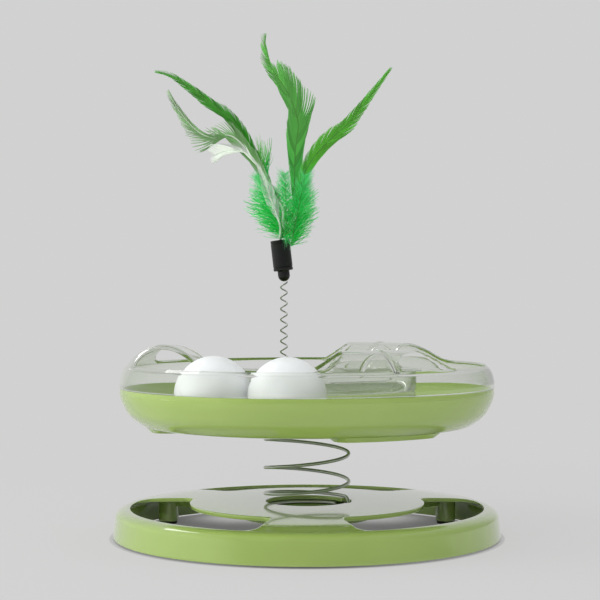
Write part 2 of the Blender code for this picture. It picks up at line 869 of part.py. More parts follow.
def make_plug(parent):
    flange = plug_flange_bottom()
    top = flange + plug_flange_height
    dome = plug_dome_height()
    start = math.asin(min(1.0, (top - dome) / plug_dome_radius))
    turns = np.linspace(math.pi / 2.0, start, 5)
    profile = [(plug_dome_radius * math.cos(t), dome + plug_dome_radius * math.sin(t)) for t in turns]
    profile[0] = (0.0, dome + plug_dome_radius)
    profile += [
        (plug_flange_radius - edge_round, top),
        (plug_flange_radius, top - edge_round),
        (plug_flange_radius, flange),
        (plug_radius, flange),
        (plug_radius, flange - plug_depth + edge_round),
        (plug_radius - edge_round, flange - plug_depth),
        (0.0, flange - plug_depth),
    ]
    mesh = outward(turned_mesh("wand_plug", profile, False, small_turn_steps), pole_merge_distance)
    mesh.transform(Matrix.Translation((wand_offset, 0.0, 0.0)))
    smooth(mesh)
    return place_on(add_object("wand_plug", mesh, parts, black_plastic), parent)


def seat_rise(dome_radius):
    """Height above a dome's centre of a coil that lies on the dome with the usual gap."""
    reach = dome_radius + fit_gap + wand_wire / 2.0
    return math.sqrt(reach * reach - wand_spring_radius * wand_spring_radius)


def ferrule_dome_height():
    return ferrule_tip_height + ferrule_neck_radius


def make_wand_spring(parent):
    low = plug_dome_height() + seat_rise(plug_dome_radius)
    high = ferrule_dome_height() - seat_rise(ferrule_neck_radius)
    count = wand_spring_turns * wand_turn_steps
    points = []
    for index in range(count + 1):
        angle = math.tau * index / wand_turn_steps
        x, y = at_polar(wand_spring_radius, angle)
        points.append((x, y, (high - low) * index / count))
    gap = least_gap(points, wand_wire, wand_turn_steps // 2)
    print("wand spring least gap to itself, mm:", round(gap / MM, 2), gap > spring_self_gap_least)
    item = wire_object("wand_spring", points, wand_wire, steel)
    item.parent = parent
    item.location = Vector((wand_offset, 0.0, low)) - parent_place(parent)
    return item


def make_ferrule(parent):
    """Two-step sleeve with a round lower end and a bore for the quills, about its dome's centre."""
    turns = np.linspace(0.0, math.pi / 2.0, 5)
    neck_top = ferrule_neck_length - ferrule_neck_radius
    top = neck_top + ferrule_length
    profile = [
        (0.0, top - ferrule_bore_depth),
        (ferrule_bore_radius, top - ferrule_bore_depth),
        (ferrule_bore_radius, top),
        (ferrule_radius - edge_round, top),
        (ferrule_radius, top - edge_round),
        (ferrule_radius, neck_top + edge_round),
        (ferrule_radius - edge_round, neck_top),
        (ferrule_neck_radius, neck_top),
    ]
    profile += [(ferrule_neck_radius * math.cos(t), -ferrule_neck_radius * math.sin(t)) for t in turns]
    profile[-1] = (0.0, -ferrule_neck_radius)
    mesh = outward(turned_mesh("feather_ferrule", profile, False, small_turn_steps), pole_merge_distance)
    smooth(mesh)
    item = add_object("feather_ferrule", mesh, parts, black_plastic)
    item.parent = parent
    item.rotation_euler = (0.0, ferrule_tilt, 0.0)
    return item


def spline_through(points, count):
    """Points read from a smooth curve through the given ones."""
    given = np.array(points)
    padded = np.vstack([2 * given[0] - given[1], given, 2 * given[-1] - given[-2]])
    spans = len(given) - 1
    result = []
    for index in range(count):
        place = spans * index / (count - 1)
        span = min(int(place), spans - 1)
        t = place - span
        a, b, c, d = padded[span : span + 4]
        result.append(
            b + 0.5 * t * ((c - a) + t * ((2 * a - 5 * b + 4 * c - d) + t * (3 * b - a - 3 * c + d)))
        )
    return np.array(result)


def plume_mesh(name, route, widths, layer, fan):
    """A quill that widens into a thin vane, lofted along its route in (x, z), in a layer of its own."""
    count = plume_steps
    line = spline_through(route, count)
    wide = np.interp(np.linspace(0.0, 1.0, count), np.linspace(0.0, 1.0, len(widths)), widths)
    work = bmesh.new()
    rings = []
    for index, (x, z) in enumerate(line):
        share = index / (count - 1)
        before = line[max(index - 1, 0)]
        after = line[min(index + 1, count - 1)]
        along = (after - before) / np.linalg.norm(after - before)
        side = Vector((-along[1], 0.0, along[0]))
        depth = layer + fan * max(0.0, share - fan_start_share) ** 2
        middle = Vector((x, depth, z))
        half = max(float(wide[index]) / 2.0, plume_tip_half)
        thick = min(plume_thickness / 2.0, half)
        edge = thick / 3.0
        section = ((-half, -edge), (0.0, -thick), (half, -edge), (half, edge), (0.0, thick), (-half, edge))
        ring = [work.verts.new(middle + side * s + Vector((0.0, t, 0.0))) for s, t in section]
        rings.append(ring)
    for low, high in zip(rings, rings[1:]):
        for k in range(6):
            work.faces.new((low[k], low[(k + 1) % 6], high[(k + 1) % 6], high[k]))
    work.faces.new(rings[0][::-1])
    work.faces.new(rings[-1])
    bmesh.ops.recalc_face_normals(work, faces=work.faces)
    mesh = bpy.data.meshes.new(name)
    work.to_mesh(mesh)
    work.free()
    return mesh


def down_mesh(name, middle, reach, lean):
    """A soft tuft as a flattened egg that leans in the plane of the wand."""
    work = bmesh.new()
    bmesh.ops.create_uvsphere(work, u_segments=12, v_segments=8, radius=1.0)
    mesh = bpy.data.meshes.new(name)
    work.to_mesh(mesh)
    work.free()
    mesh.transform(Matrix.Diagonal((*reach, 1.0)))
    mesh.transform(Matrix.Rotation(lean, 4, "Y"))
    mesh.transform(Matrix.Translation(middle))
    smooth(mesh)
    return mesh


def on_ferrule_axis(along):
    """(x, height) of the point that far along the ferrule's axis from its dome's centre."""
    across = along * math.sin(ferrule_tilt)
    return (wand_offset + across, ferrule_dome_height() + along * math.cos(ferrule_tilt))


def from_mouth(across_share, height_share):
    x, z = on_ferrule_axis(ferrule_neck_length - ferrule_neck_radius + ferrule_length)
    return (x + across_share * feather_span, z + height_share * feather_span)


def quill_foot():
    bore_floor = ferrule_neck_length - ferrule_neck_radius + ferrule_length - ferrule_bore_depth
    return on_ferrule_axis(bore_floor + quill_bore_gap)


def make_feathers(parent):
    shift = parent_place(parent)
    for name, plume in plumes.items():
        route = [quill_foot()] + [from_mouth(x, z) for x, z in plume["route_shares"]]
        widths = [w * feather_span for w in plume["width_shares"]]
        fan = plume["fan_share"] * feather_span
        mesh = plume_mesh(name, route, widths, plume["layer"] * plume_layer, fan)
        mesh.transform(Matrix.Translation(-shift))
        item = add_object(name, mesh, parts, white_feather if "white" in name else green_feather)
        item.parent = parent
    for name, down in downs.items():
        across, depth, height = down["middle_shares"]
        x, z = from_mouth(across, height)
        reach = [v * feather_span for v in down["reach_shares"]]
        mesh = down_mesh(name, (x, depth * feather_span, z), reach, math.radians(down["lean_degrees"]))
        mesh.transform(Matrix.Translation(-shift))
        add_object(name, mesh, parts, green_down).parent = parent


def make_balls(parent):
    for index, angle in enumerate(ball_angles):
        work = bmesh.new()
        bmesh.ops.create_uvsphere(work, u_segments=20, v_segments=12, radius=ball_radius)
        mesh = bpy.data.meshes.new("ball")
        work.to_mesh(mesh)
        work.free()
        x, y = at_polar(ball_track_radius, angle)
        mesh.transform(Matrix.Translation((x, y, track_floor_height + ball_radius + ball_floor_gap)))
        smooth(mesh)
        place_on(add_object("ball_%d" % (index + 1), mesh, parts, white_plastic), parent)


clear_scene()
parts = make_collection(collection_name)
cutters = make_collection("cutters")
green = material("green_plastic", (0.42, 0.56, 0.16), 0.25)
clear_plastic = material("clear_plastic", (0.93, 0.95, 0.92), 0.05, 0.0, 1.0)
dark_plastic = material("dark_green_plastic", (0.25, 0.36, 0.1), 0.4)
black_plastic = material("black_plastic", (0.015, 0.015, 0.015), 0.45)
white_plastic = material("white_plastic", (0.88, 0.88, 0.86), 0.4)
steel = material("steel_wire", (0.62, 0.62, 0.6), 0.25, 1.0)
rubber = material("rubber", (0.05, 0.05, 0.05), 0.8)
green_feather = material("green_feather", (0.05, 0.4, 0.08), 0.7)
white_feather = material("white_feather", (0.8, 0.85, 0.78), 0.7)
green_down = material("green_down", (0.03, 0.65, 0.18), 0.8)

lean_axis = add_empty("tray_lean_axis", (0.0, 0.0, lower_dead_height()))
bounce_guide = add_empty("tray_bounce_guide", (0.0, 0.0, upper_dead_height()), lean_axis)
sway_axis = add_empty("wand_sway_axis", (wand_offset, 0.0, plug_dome_height()), bounce_guide)
nod_axis = add_empty("feather_nod_axis", (wand_offset, 0.0, ferrule_dome_height()), sway_axis)

make_base()
make_pads()
make_lower_keeper()
place_on(make_main_spring(), lean_axis)
make_tray(bounce_guide)
make_upper_keeper(bounce_guide)
make_cover(bounce_guide)
make_plug(bounce_guide)
make_balls(bounce_guide)
make_wand_spring(sway_axis)
make_ferrule(nod_axis)
make_feathers(nod_axis)
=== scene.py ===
"""Cat ball tower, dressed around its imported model: base, tray, clear cover, balls, springs and feathers."""
import math
import random

import bmesh
import bpy
import numpy as np
from mathutils import Matrix, Vector


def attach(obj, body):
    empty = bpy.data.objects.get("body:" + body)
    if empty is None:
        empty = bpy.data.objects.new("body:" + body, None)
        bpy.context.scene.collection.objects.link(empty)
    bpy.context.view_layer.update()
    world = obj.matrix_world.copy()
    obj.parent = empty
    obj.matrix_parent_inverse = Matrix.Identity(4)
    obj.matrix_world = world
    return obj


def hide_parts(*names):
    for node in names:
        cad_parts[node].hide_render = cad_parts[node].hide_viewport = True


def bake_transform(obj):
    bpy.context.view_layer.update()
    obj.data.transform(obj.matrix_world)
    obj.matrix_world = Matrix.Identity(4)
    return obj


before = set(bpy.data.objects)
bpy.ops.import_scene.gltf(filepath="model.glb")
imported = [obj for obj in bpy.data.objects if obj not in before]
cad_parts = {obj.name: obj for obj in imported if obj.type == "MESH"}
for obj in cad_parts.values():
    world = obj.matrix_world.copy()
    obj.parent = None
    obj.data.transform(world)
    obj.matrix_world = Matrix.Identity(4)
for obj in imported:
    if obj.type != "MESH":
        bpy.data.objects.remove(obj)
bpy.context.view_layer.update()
MM = 0.001

# The camera stands level with the feathers' sleeve and looks straight along +Y,
# from where the photograph was taken: a long lens, a little under a metre away.
camera_distance, camera_height = 870 * MM, 133 * MM
sensor_width, lens_share = 36.0, 1566 / 600
scene = bpy.context.scene


def plain_object(name, data):
    made = bpy.data.objects.new(name, data)
    scene.collection.objects.link(made)
    return made


camera_data = bpy.data.cameras.new("camera")
camera_data.sensor_width = sensor_width
camera_data.lens = sensor_width * lens_share
camera_data.shift_x, camera_data.shift_y = -7 / 600, -4 / 600
camera = plain_object("camera", camera_data)
camera.location = (0.0, -camera_distance, camera_height)
camera.rotation_euler = (math.radians(90.0), 0.0, 0.0)
scene.camera = camera
scene.view_settings.view_transform = "Standard"

# A plain pale grey sweep of paper, the same grey as the background behind it.
# It keeps a faint soft shadow under the toy, and has painted shade under the base and at its foot.
background_grey = "d1d1d1"
shadow_near, shadow_far = 120 * MM, 550 * MM
# The floor's painted shade reaches out from the middle to just past the base's edge.
painted_shade_edge = 109 * MM


def linear(hex_colour):
    """An sRGB hex colour as the linear values that shaders read."""
    values = [int(hex_colour[i : i + 2], 16) / 255 for i in (0, 2, 4)]
    return (*[v / 12.92 if v <= 0.04045 else ((v + 0.055) / 1.055) ** 2.4 for v in values], 1.0)


def add_node(tree, kind, settings, **inputs):
    """Adds a node. An input given as a socket is linked, and any other value is set on it."""
    node = tree.nodes.new(kind)
    for name, value in settings.items():
        setattr(node, name, value)
    for name, value in inputs.items():
        socket = node.inputs[int(name[1:]) if name[1:].isdigit() else name.replace("_", " ")]
        if isinstance(value, bpy.types.NodeSocket):
            tree.links.new(value, socket)
        else:
            socket.default_value = value
    return node


def new_material(name):
    """An empty node material and its tree."""
    made = bpy.data.materials.new(name)
    made.use_nodes = True
    made.node_tree.nodes.clear()
    return made, made.node_tree


def seen_ray(tree):
    """1 where the ray is seen straight, in a mirror or through a clear wall, and 0 where it only lights."""
    path = add_node(tree, "ShaderNodeLightPath", {})
    first = add_node(tree, "ShaderNodeMath", {"operation": "MAXIMUM"},
                     _0=path.outputs["Is Camera Ray"], _1=path.outputs["Is Glossy Ray"])
    any_seen = add_node(tree, "ShaderNodeMath", {"operation": "MAXIMUM"},
                        _0=first.outputs[0], _1=path.outputs["Is Transmission Ray"])
    lights = add_node(tree, "ShaderNodeMath", {"operation": "MINIMUM"},
                      _0=path.outputs["Diffuse Depth"], _1=1.0)
    return add_node(tree, "ShaderNodeMath", {"operation": "SUBTRACT", "use_clamp": True},
                    _0=any_seen.outputs[0], _1=lights.outputs[0]).outputs[0]


def paper_material():
    """Matte paper in the background's grey. Its shadow stays near the toy; painted shade darkens it under the
    base.
    """
    made, tree = new_material("studio_paper")
    coords = add_node(tree, "ShaderNodeTexCoord", {})
    away = add_node(tree, "ShaderNodeVectorMath", {"operation": "LENGTH"}, _0=coords.outputs["Object"])
    flat_share = add_node(tree, "ShaderNodeMapRange", {"interpolation_type": "SMOOTHSTEP"},
                          Value=away.outputs["Value"], _1=shadow_near, _2=shadow_far, _3=0.80, _4=1.0)
    # Painted shade: the floor's glow dims where the base closes it in, under the base and in a thin line at
    # its foot.
    closed_in = add_node(tree, "ShaderNodeAmbientOcclusion", {"samples": 8}, Distance=60 * MM)
    under = add_node(tree, "ShaderNodeMapRange", {}, Value=closed_in.outputs["AO"],
                     _1=0.0, _2=0.85, _3=0.14, _4=1.0)
    outside = add_node(tree, "ShaderNodeMath", {"operation": "GREATER_THAN"},
                       _0=away.outputs["Value"], _1=painted_shade_edge)
    painted_shade_under_base = add_node(tree, "ShaderNodeMath", {"operation": "MAXIMUM"},
                   _0=under.outputs[0], _1=outside.outputs[0])
    flat = add_node(tree, "ShaderNodeEmission", {}, Color=linear(background_grey), Strength=painted_shade_under_base.outputs[0])
    tint = add_node(tree, "ShaderNodeMix", {"data_type": "RGBA"}, _0=seen_ray(tree),
                    _6=linear("f2f2f2"), _7=linear("d6d6d6"))
    paper = add_node(tree, "ShaderNodeBsdfDiffuse", {}, Color=tint.outputs[2])
    share = add_node(tree, "ShaderNodeMath", {"operation": "MULTIPLY"},
                     _0=seen_ray(tree), _1=flat_share.outputs[0])
    mixed = add_node(tree, "ShaderNodeMixShader", {},
                     _0=share.outputs[0], _1=paper.outputs[0], _2=flat.outputs[0])
    add_node(tree, "ShaderNodeOutputMaterial", {}, Surface=mixed.outputs[0])
    return made


floor_half = 30.0
floor_corners = [(x * floor_half, y * floor_half, 0.0) for x, y in ((-1, -1), (1, -1), (1, 1), (-1, 1))]
floor_mesh = bpy.data.meshes.new("studio_floor")
floor_mesh.from_pydata(floor_corners, [], [(0, 1, 2, 3)])
floor_mesh.materials.append(paper_material())
floor = plain_object("studio_floor", floor_mesh)

# Studio light: an even pale room, a big softbox on the left, one in front, one overhead and a weak one on the
# right. In mirrors the room is pale on the left, and grey on the right and behind the camera. Gloss shows
# just the small lamp high on the left. Clear plastic shows that lamp and the overhead one.
room_light = 0.52
world = bpy.data.worlds.new("studio")
world.use_nodes = True
sky = world.node_tree
sky.nodes.clear()
ray = add_node(sky, "ShaderNodeTexCoord", {})
direction = add_node(sky, "ShaderNodeSeparateXYZ", {}, Vector=ray.outputs["Generated"])
mirrored = linear("7b7d7c")
for axis, start, end, most, colour in (
    ("Y", -0.35, 0.45, 1.0, background_grey),
    ("X", -0.5, -0.92, 1.0, "e0e2de"),
    ("X", 0.3, 0.85, 0.8, "868887"),
):
    side = add_node(sky, "ShaderNodeMapRange", {"interpolation_type": "SMOOTHSTEP"},
                    Value=direction.outputs[axis], _1=start, _2=end, _3=0.0, _4=most)
    mirrored = add_node(sky, "ShaderNodeMix", {"data_type": "RGBA"},
                        _0=side.outputs[0], _6=mirrored, _7=linear(colour)).outputs[2]
room = add_node(sky, "ShaderNodeBackground", {}, Color=linear("ffffff"), Strength=room_light)
reflected = add_node(sky, "ShaderNodeBackground", {}, Color=mirrored, Strength=1.0)
backdrop = add_node(sky, "ShaderNodeBackground", {}, Color=linear(background_grey), Strength=1.0)
first_seen = add_node(sky, "ShaderNodeMixShader", {},
                      _0=seen_ray(sky), _1=room.outputs[0], _2=reflected.outputs[0])
path = add_node(sky, "ShaderNodeLightPath", {})
straight = add_node(sky, "ShaderNodeMixShader", {},
                    _0=path.outputs["Is Camera Ray"], _1=first_seen.outputs[0], _2=backdrop.outputs[0])
add_node(sky, "ShaderNodeOutputWorld", {}, Surface=straight.outputs[0])
scene.world = world

lamps = {
    "key_left": {"place": (-1.10, -0.10, 0.45), "size": (0.8, 1.0), "power": 8.2},
    "front": {"place": (-0.25, -1.00, 0.85), "size": (1.0, 0.7), "power": 3.9},
    "fill_right": {"place": (0.95, -0.25, 0.45), "size": (0.6, 0.8), "power": 0.7},
    "overhead": {"place": (-0.05, 0.20, 1.1), "size": (0.9, 0.6), "power": 1.7},
    "glint_left": {"place": (-0.58, 0.52, 0.90), "size": (0.30, 0.30), "power": 0.9},
}
for name, wanted in lamps.items():
    light = bpy.data.lights.new(name, "AREA")
    light.shape = "RECTANGLE"
    light.size, light.size_y = wanted["size"]
    light.energy = wanted["power"]
    lamp = plain_object(name, light)
    lamp.location = wanted["place"]
    aim = Vector((0.0, 0.0, 0.05)) - Vector(wanted["place"])
    lamp.rotation_euler = aim.to_track_quat("-Z", "Y").to_euler()
    lamp.visible_glossy = name == "glint_left"
    lamp.visible_diffuse = name != "glint_left"
    lamp.visible_transmission = name in ("overhead", "glint_left")

# Base and tray: light-green ABS, injection moulded in a polished mould, which gives mirror-like reflections
# at a low angle. The melt's flow shades and ripples it very slightly, and handling leaves hair-fine scuffs.
shell_greens = ("97b15a", "a4bc68")
abs_grains = ((38 * MM, 2.0, 0.45), (2.2 * MM, 6.0, 0.7))


def moulded_material(name, tones, grains, dull=None, bump=None, **settings):
    """A finish between two tones. A grain is a noise with a real size, a detail and a roughness of its own.
    The first one mixes the tones. The last one spreads the dullness, from two of its levels to two values.
    The bump is a grain's number, a strength and a depth, and the settings are the shader's own constants."""
    made, tree = new_material(name)
    coords = add_node(tree, "ShaderNodeTexCoord", {})
    noises = [add_node(tree, "ShaderNodeTexNoise", {}, Vector=coords.outputs["Object"], Scale=1.0 / size,
                       Detail=detail, Roughness=rough).outputs["Fac"] for size, detail, rough in grains]
    tone = add_node(tree, "ShaderNodeMix", {"data_type": "RGBA"}, _0=noises[0],
                    _6=linear(tones[0]), _7=linear(tones[1]))
    shader = add_node(tree, "ShaderNodeBsdfPrincipled", {}, Base_Color=tone.outputs[2])
    if dull:
        spread = add_node(tree, "ShaderNodeMapRange", {}, Value=noises[-1],
                          _1=dull[0], _2=dull[1], _3=dull[2], _4=dull[3])
        tree.links.new(spread.outputs[0], shader.inputs["Roughness"])
    if bump:
        relief = add_node(tree, "ShaderNodeBump", {}, Height=noises[bump[0]],
                          Strength=bump[1], Distance=bump[2])
        tree.links.new(relief.outputs[0], shader.inputs["Normal"])
    for socket, value in settings.items():
        shader.inputs[socket.replace("_", " ")].default_value = value
    add_node(tree, "ShaderNodeOutputMaterial", {}, Surface=shader.outputs[0])
    return made


green_abs, tray_abs = [
    moulded_material(name, shell_greens, abs_grains, (0.35, 0.75, 0.10, 0.17), (0, 0.05, 0.5 * MM), IOR=1.54,
                     Coat_Weight=coat, Coat_Roughness=0.06, Coat_IOR=1.5, Subsurface_Weight=0.05,
                     Subsurface_Scale=1.0, Subsurface_Radius=(1.2 * MM, 1.6 * MM, 0.7 * MM))
    for name, coat in (("glossy_green_abs", 1.0), ("green_abs", 0.35))]

# The base is one upturned dish, 107 mm in radius, with a slightly crowned top, a round hole for the spring
# and three wide bean-shaped windows. Ribs, posts and screw bosses stiffen it from below.
base_radius, base_top_radius, base_hole = 107.0 * MM, 98.0 * MM, 22.8 * MM
base_shoulder, base_crown, base_wall = 17.3 * MM, 2.1 * MM, 2.2 * MM
shoulder_drop, base_lift = 5.2 * MM, 0.8 * MM
base_fall_start, base_fall = 84.0 * MM, 0.8 * MM
window_inner, window_outer, window_corner = 65.0 * MM, 97.6 * MM, 7.5 * MM
window_half = math.radians(44.5)
window_angles = [math.radians(a) for a in (90.0, 210.0, 330.0)]
spoke_angles = [a + math.pi / 3.0 for a in window_angles]


def polar(radius, angle, height=0.0):
    return (radius * math.cos(angle), radius * math.sin(angle), height)


def mesh_from(work, name):
    """A finished bmesh as a mesh, with its faces turned outwards."""
    bmesh.ops.recalc_face_normals(work, faces=work.faces)
    mesh = bpy.data.meshes.new(name)
    work.to_mesh(mesh)
    work.free()
    return mesh


def turned(name, profile, steps=192, closed=True):
    """A ring of (radius, height) points carried round Z. A closed profile makes a closed ring."""
    work = bmesh.new()
    rows = []
    for k in range(steps):
        angle = math.tau * k / steps
        rows.append([work.verts.new(polar(r, angle, z)) for r, z in profile])
    count = len(profile)
    for k in range(steps):
        here, there = rows[k], rows[(k + 1) % steps]
        for i in range(count if closed else count - 1):
            j = (i + 1) % count
            work.faces.new((here[i], here[j], there[j], there[i]))
    bmesh.ops.remove_doubles(work, verts=work.verts, dist=0.002 * MM)
    return mesh_from(work, name)


def bean_outline(inner, outer, half, corner, middle, arc=32, bend=9):
    """Ring sector with rounded corners, as (x, y) points that run anticlockwise."""
    outer_turn = half - math.asin(corner / (outer - corner))
    inner_turn = half - math.asin(corner / (inner + corner))
    points = [polar(outer, a)[:2] for a in np.linspace(-outer_turn, outer_turn, arc)]

    def rounded(radius, turn, start, end):
        cx, cy = polar(radius, turn)[:2]
        return [(cx + corner * math.cos(a), cy + corner * math.sin(a)) for a in np.linspace(start, end, bend)]

    right = math.pi / 2.0
    points += rounded(outer - corner, outer_turn, outer_turn, half + right)[1:]
    points += rounded(inner + corner, inner_turn, half + right, inner_turn + math.pi)
    points += [polar(inner, a)[:2] for a in np.linspace(inner_turn, -inner_turn, arc)][1:]
    points += rounded(inner + corner, -inner_turn, -inner_turn - math.pi, -half - right)[1:]
    points += rounded(outer - corner, -outer_turn, -half - right, -outer_turn)[:-1]
    turn = Matrix.Rotation(middle, 2)
    return [tuple(turn @ Vector(p)) for p in points]


def skinned(work, rings):
    """Joins rings of points into a closed tube. Returns its side faces with their (ring, spot) corners."""
    sides = len(rings[0])
    faces = []
    for index in range(len(rings) - 1):
        for k in range(sides):
            corners = ((index, k), (index, k + 1), (index + 1, k + 1), (index + 1, k))
            faces.append((work.faces.new([rings[row][spot % sides] for row, spot in corners]), corners))
    work.faces.new(rings[0][::-1])
    work.faces.new(rings[-1])
    return faces


def lofted(name, low, high, bottom, top):
    """Two flat outlines with as many points each, joined into a closed solid."""
    work = bmesh.new()
    ends = ((low, bottom), (high, top))
    skinned(work, [[work.verts.new((x, y, z)) for x, y in outline] for outline, z in ends])
    return mesh_from(work, name)


def prism(name, outline, bottom, top):
    return lofted(name, outline, outline, bottom, top)


def smoothed(mesh, sharp=32.0):
    """Shades a mesh smooth, save at edges that turn more than so many degrees."""
    mesh.shade_smooth()
    mesh.set_sharp_from_angle(angle=math.radians(sharp))
    return mesh


def baked(item, name):
    """The item's mesh with its modifiers applied. The item itself goes."""
    mesh = bpy.data.meshes.new_from_object(item.evaluated_get(bpy.context.evaluated_depsgraph_get()))
    mesh.name = name
    bpy.data.objects.remove(item, do_unlink=True)
    return mesh


def carved(name, body, steps, round_edge=0.0):
    """Joins or cuts a body with other meshes, rounds its sharp edges, and leaves a plain object."""
    item = plain_object(name, body)
    tools = []
    for kind, mesh in steps:
        tool = plain_object(name + "_tool", mesh)
        cut = item.modifiers.new("cut", "BOOLEAN")
        cut.operation, cut.solver, cut.object = kind, "EXACT", tool
        tools.append(tool)
    if round_edge:
        bevel = item.modifiers.new("edge", "BEVEL")
        bevel.width, bevel.segments = round_edge, 2
        bevel.limit_method, bevel.angle_limit = "ANGLE", math.radians(50.0)
        bevel.use_clamp_overlap = False
    mesh = smoothed(baked(item, name))
    for tool in tools:
        bpy.data.objects.remove(tool, do_unlink=True)
    for face in mesh.polygons:
        if abs(face.normal.z) > 0.9999:
            face.use_smooth = False
    return plain_object(name, mesh)


def placed(piece, body, slot, *nodes):
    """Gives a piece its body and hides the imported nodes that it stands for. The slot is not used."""
    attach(piece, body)
    if nodes:
        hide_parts(*nodes)


def dressed(piece, body, slot, material, *nodes):
    """Gives a piece its one material, and places it."""
    piece.data.materials.clear()
    piece.data.materials.append(material)
    placed(piece, body, slot, *nodes)


def crown(radius):
    """The height of the base's top."""
    share = max(0.0, radius - base_hole) / (base_top_radius - base_hole)
    fall = max(0.0, (radius - base_fall_start) / (base_top_radius - base_fall_start))
    return base_shoulder + base_crown * (1.0 - share * share) - base_fall * fall * fall


def base_profile():
    side = base_radius - 1.2 * MM
    outer = [(base_hole, crown(base_hole) - 0.5 * MM), (base_hole + 0.15 * MM, crown(base_hole) - 0.15 * MM)]
    outer += [(r, crown(r)) for r in np.linspace(base_hole + 0.5 * MM, base_top_radius, 16)[:-1]]
    for t in np.linspace(0.0, math.pi / 2.0, 15):
        outer.append((base_top_radius + (side - base_top_radius) * math.sin(t),
                      crown(base_top_radius) - (shoulder_drop - base_fall) * (1.0 - math.cos(t))))
    outer += [(base_radius - 0.1 * MM, 2.0 * MM), (base_radius, 1.3 * MM),
              (base_radius - 0.15 * MM, 0.95 * MM), (base_radius - 0.5 * MM, base_lift)]
    inner = [(base_radius - base_wall, base_lift)]
    inner_drop = shoulder_drop - base_wall / 2.0
    for t in np.linspace(math.pi / 2.0, 0.0, 7):
        inner.append((base_top_radius + (side - base_wall - base_top_radius) * math.sin(t),
                      base_shoulder - base_wall - inner_drop + inner_drop * math.cos(t)))
    inner += [(r, crown(r) - base_wall) for r in np.linspace(base_top_radius, base_hole, 8)[1:]]
    return outer + inner


base_cuts = []
for angle in window_angles:
    window = bean_outline(window_inner, window_outer, window_half, window_corner, angle)
    base_cuts.append(("DIFFERENCE", prism("window", window, 13.1 * MM, 24.0 * MM)))
notch = bean_outline(20.8 * MM, 24.75 * MM, math.radians(27.8), 0.6 * MM, math.radians(2.4), 12, 5)
base_cuts.append(("DIFFERENCE", prism("notch", notch, 13.0 * MM, 22.0 * MM)))
base = carved("base_dish", turned("base_dish", base_profile()), base_cuts, 0.4 * MM)
dressed(base, "base", "base_plastic", green_abs, "base_shell")

# Under the base: a round skirt, a rib and a foot's post under each spoke, and bosses for the lower screws.
# All of it is moulded in one with the dish.
skirt_radius, skirt_wall, skirt_bottom, skirt_top = 36.0 * MM, 1.6 * MM, 10.5 * MM, 17.6 * MM
rib_half, rib_top, foot_circle = 0.8 * MM, 16.2 * MM, 93.5 * MM
screw_circle, boss_radius, boss_hole = 28.7 * MM, 3.2 * MM, 1.6 * MM
lower_screw_angles = [math.radians(a) for a in (75.0, 180.0, 285.0)]


def round_post(radius, bottom, top, place, hole=0.0):
    """A round boss with a small chamfer, and a blind screw hole from below if it has one."""
    edge = 0.3 * MM
    profile = [(0.0, top), (radius, top), (radius, bottom + edge), (radius - edge, bottom)]
    depth = 0.9 * (top - bottom)
    profile += [(hole, bottom), (hole, bottom + depth), (0.0, bottom + depth)] if hole else [(0.0, bottom)]
    mesh = turned("post", profile, 32, False)
    mesh.transform(Matrix.Translation(place))
    return mesh


def stiffener(start, end, bottom, top, angle):
    """A straight rib that points away from the middle at an angle."""
    outline = [(start, -rib_half), (end, -rib_half), (end, rib_half), (start, rib_half)]
    mesh = prism("rib", outline, bottom, top)
    mesh.transform(Matrix.Rotation(angle, 4, "Z"))
    return mesh


def joined_object(name, meshes):
    """Several meshes as one object."""
    work = bmesh.new()
    for mesh in meshes:
        work.from_mesh(mesh)
    return plain_object(name, smoothed(mesh_from(work, name)))


skirt_inner = skirt_radius - skirt_wall
skirt_profile = [(skirt_radius, skirt_top), (skirt_radius, skirt_bottom), (skirt_inner, skirt_bottom),
                 (skirt_inner, skirt_top)]
under = [turned("skirt", skirt_profile, 96)]
for angle in spoke_angles:
    under.append(stiffener(35.2 * MM, foot_circle, skirt_bottom, rib_top, angle))
    under.append(round_post(5.8 * MM, 1.7 * MM, rib_top, polar(foot_circle, angle)))
for angle in lower_screw_angles:
    under.append(round_post(boss_radius, 15.0 * MM, 18.2 * MM, polar(screw_circle, angle), boss_hole))
dressed(joined_object("base_ribs", under), "base", "base_plastic", green_abs)

# Rubber feet: three black discs pressed onto posts under the base, with a rounded edge,
# a shallow dimple against the floor and the fine grain of moulded rubber.
# The rubber is dull all over, so it shows no clear highlight, and its grain is like fine sandpaper.
rubber = moulded_material("black_rubber", ("1b1c1b", "2a2b2a"), [(0.35 * MM, 3.0, 0.5)],
                          bump=(0, 0.5, 0.05 * MM), Roughness=0.78, IOR=1.52)
foot_profile = [(0.0, 1.4), (4.75, 1.4), (4.95, 1.3), (5.0, 1.1), (5.0, 0.5), (4.85, 0.2), (4.5, 0.02),
                (3.0, 0.0), (2.5, 0.25), (0.0, 0.35)]
for index, angle in enumerate(spoke_angles, 1):
    foot_mesh = turned("rubber_foot", [(r * MM, z * MM) for r, z in foot_profile], 40, False)
    foot_mesh.transform(Matrix.Translation(polar(foot_circle, angle)))
    foot = plain_object("rubber_foot_%d" % index, smoothed(foot_mesh, 50.0))
    dressed(foot, "base", "pad_rubber", rubber, "base_pad_%d" % index)

# Spring keepers: flat C-shaped plates of the same green ABS, moulded 2 mm thick in a plain satin mould.
# They clamp the dead turns of the big spring under the base and under the tray.
spring_start, turns_work = math.radians(24.0), 4.32
keeper_inner, keeper_outer, keeper_corner = 22.0 * MM, 32.2 * MM, 1.5 * MM
keeper_thick, cutter_reach = 2.0 * MM, 1.0 * MM
lower_keeper_bottom, upper_keeper_bottom = 12.7 * MM, 74.5 * MM
lower_keeper_middle = spring_start - 0.06 * math.tau + math.pi
upper_keeper_middle = spring_start + turns_work * math.tau + math.radians(78.0)
upper_screw_angles = [upper_keeper_middle + sign * math.radians(52.0) for sign in (-1.0, 1.0)]

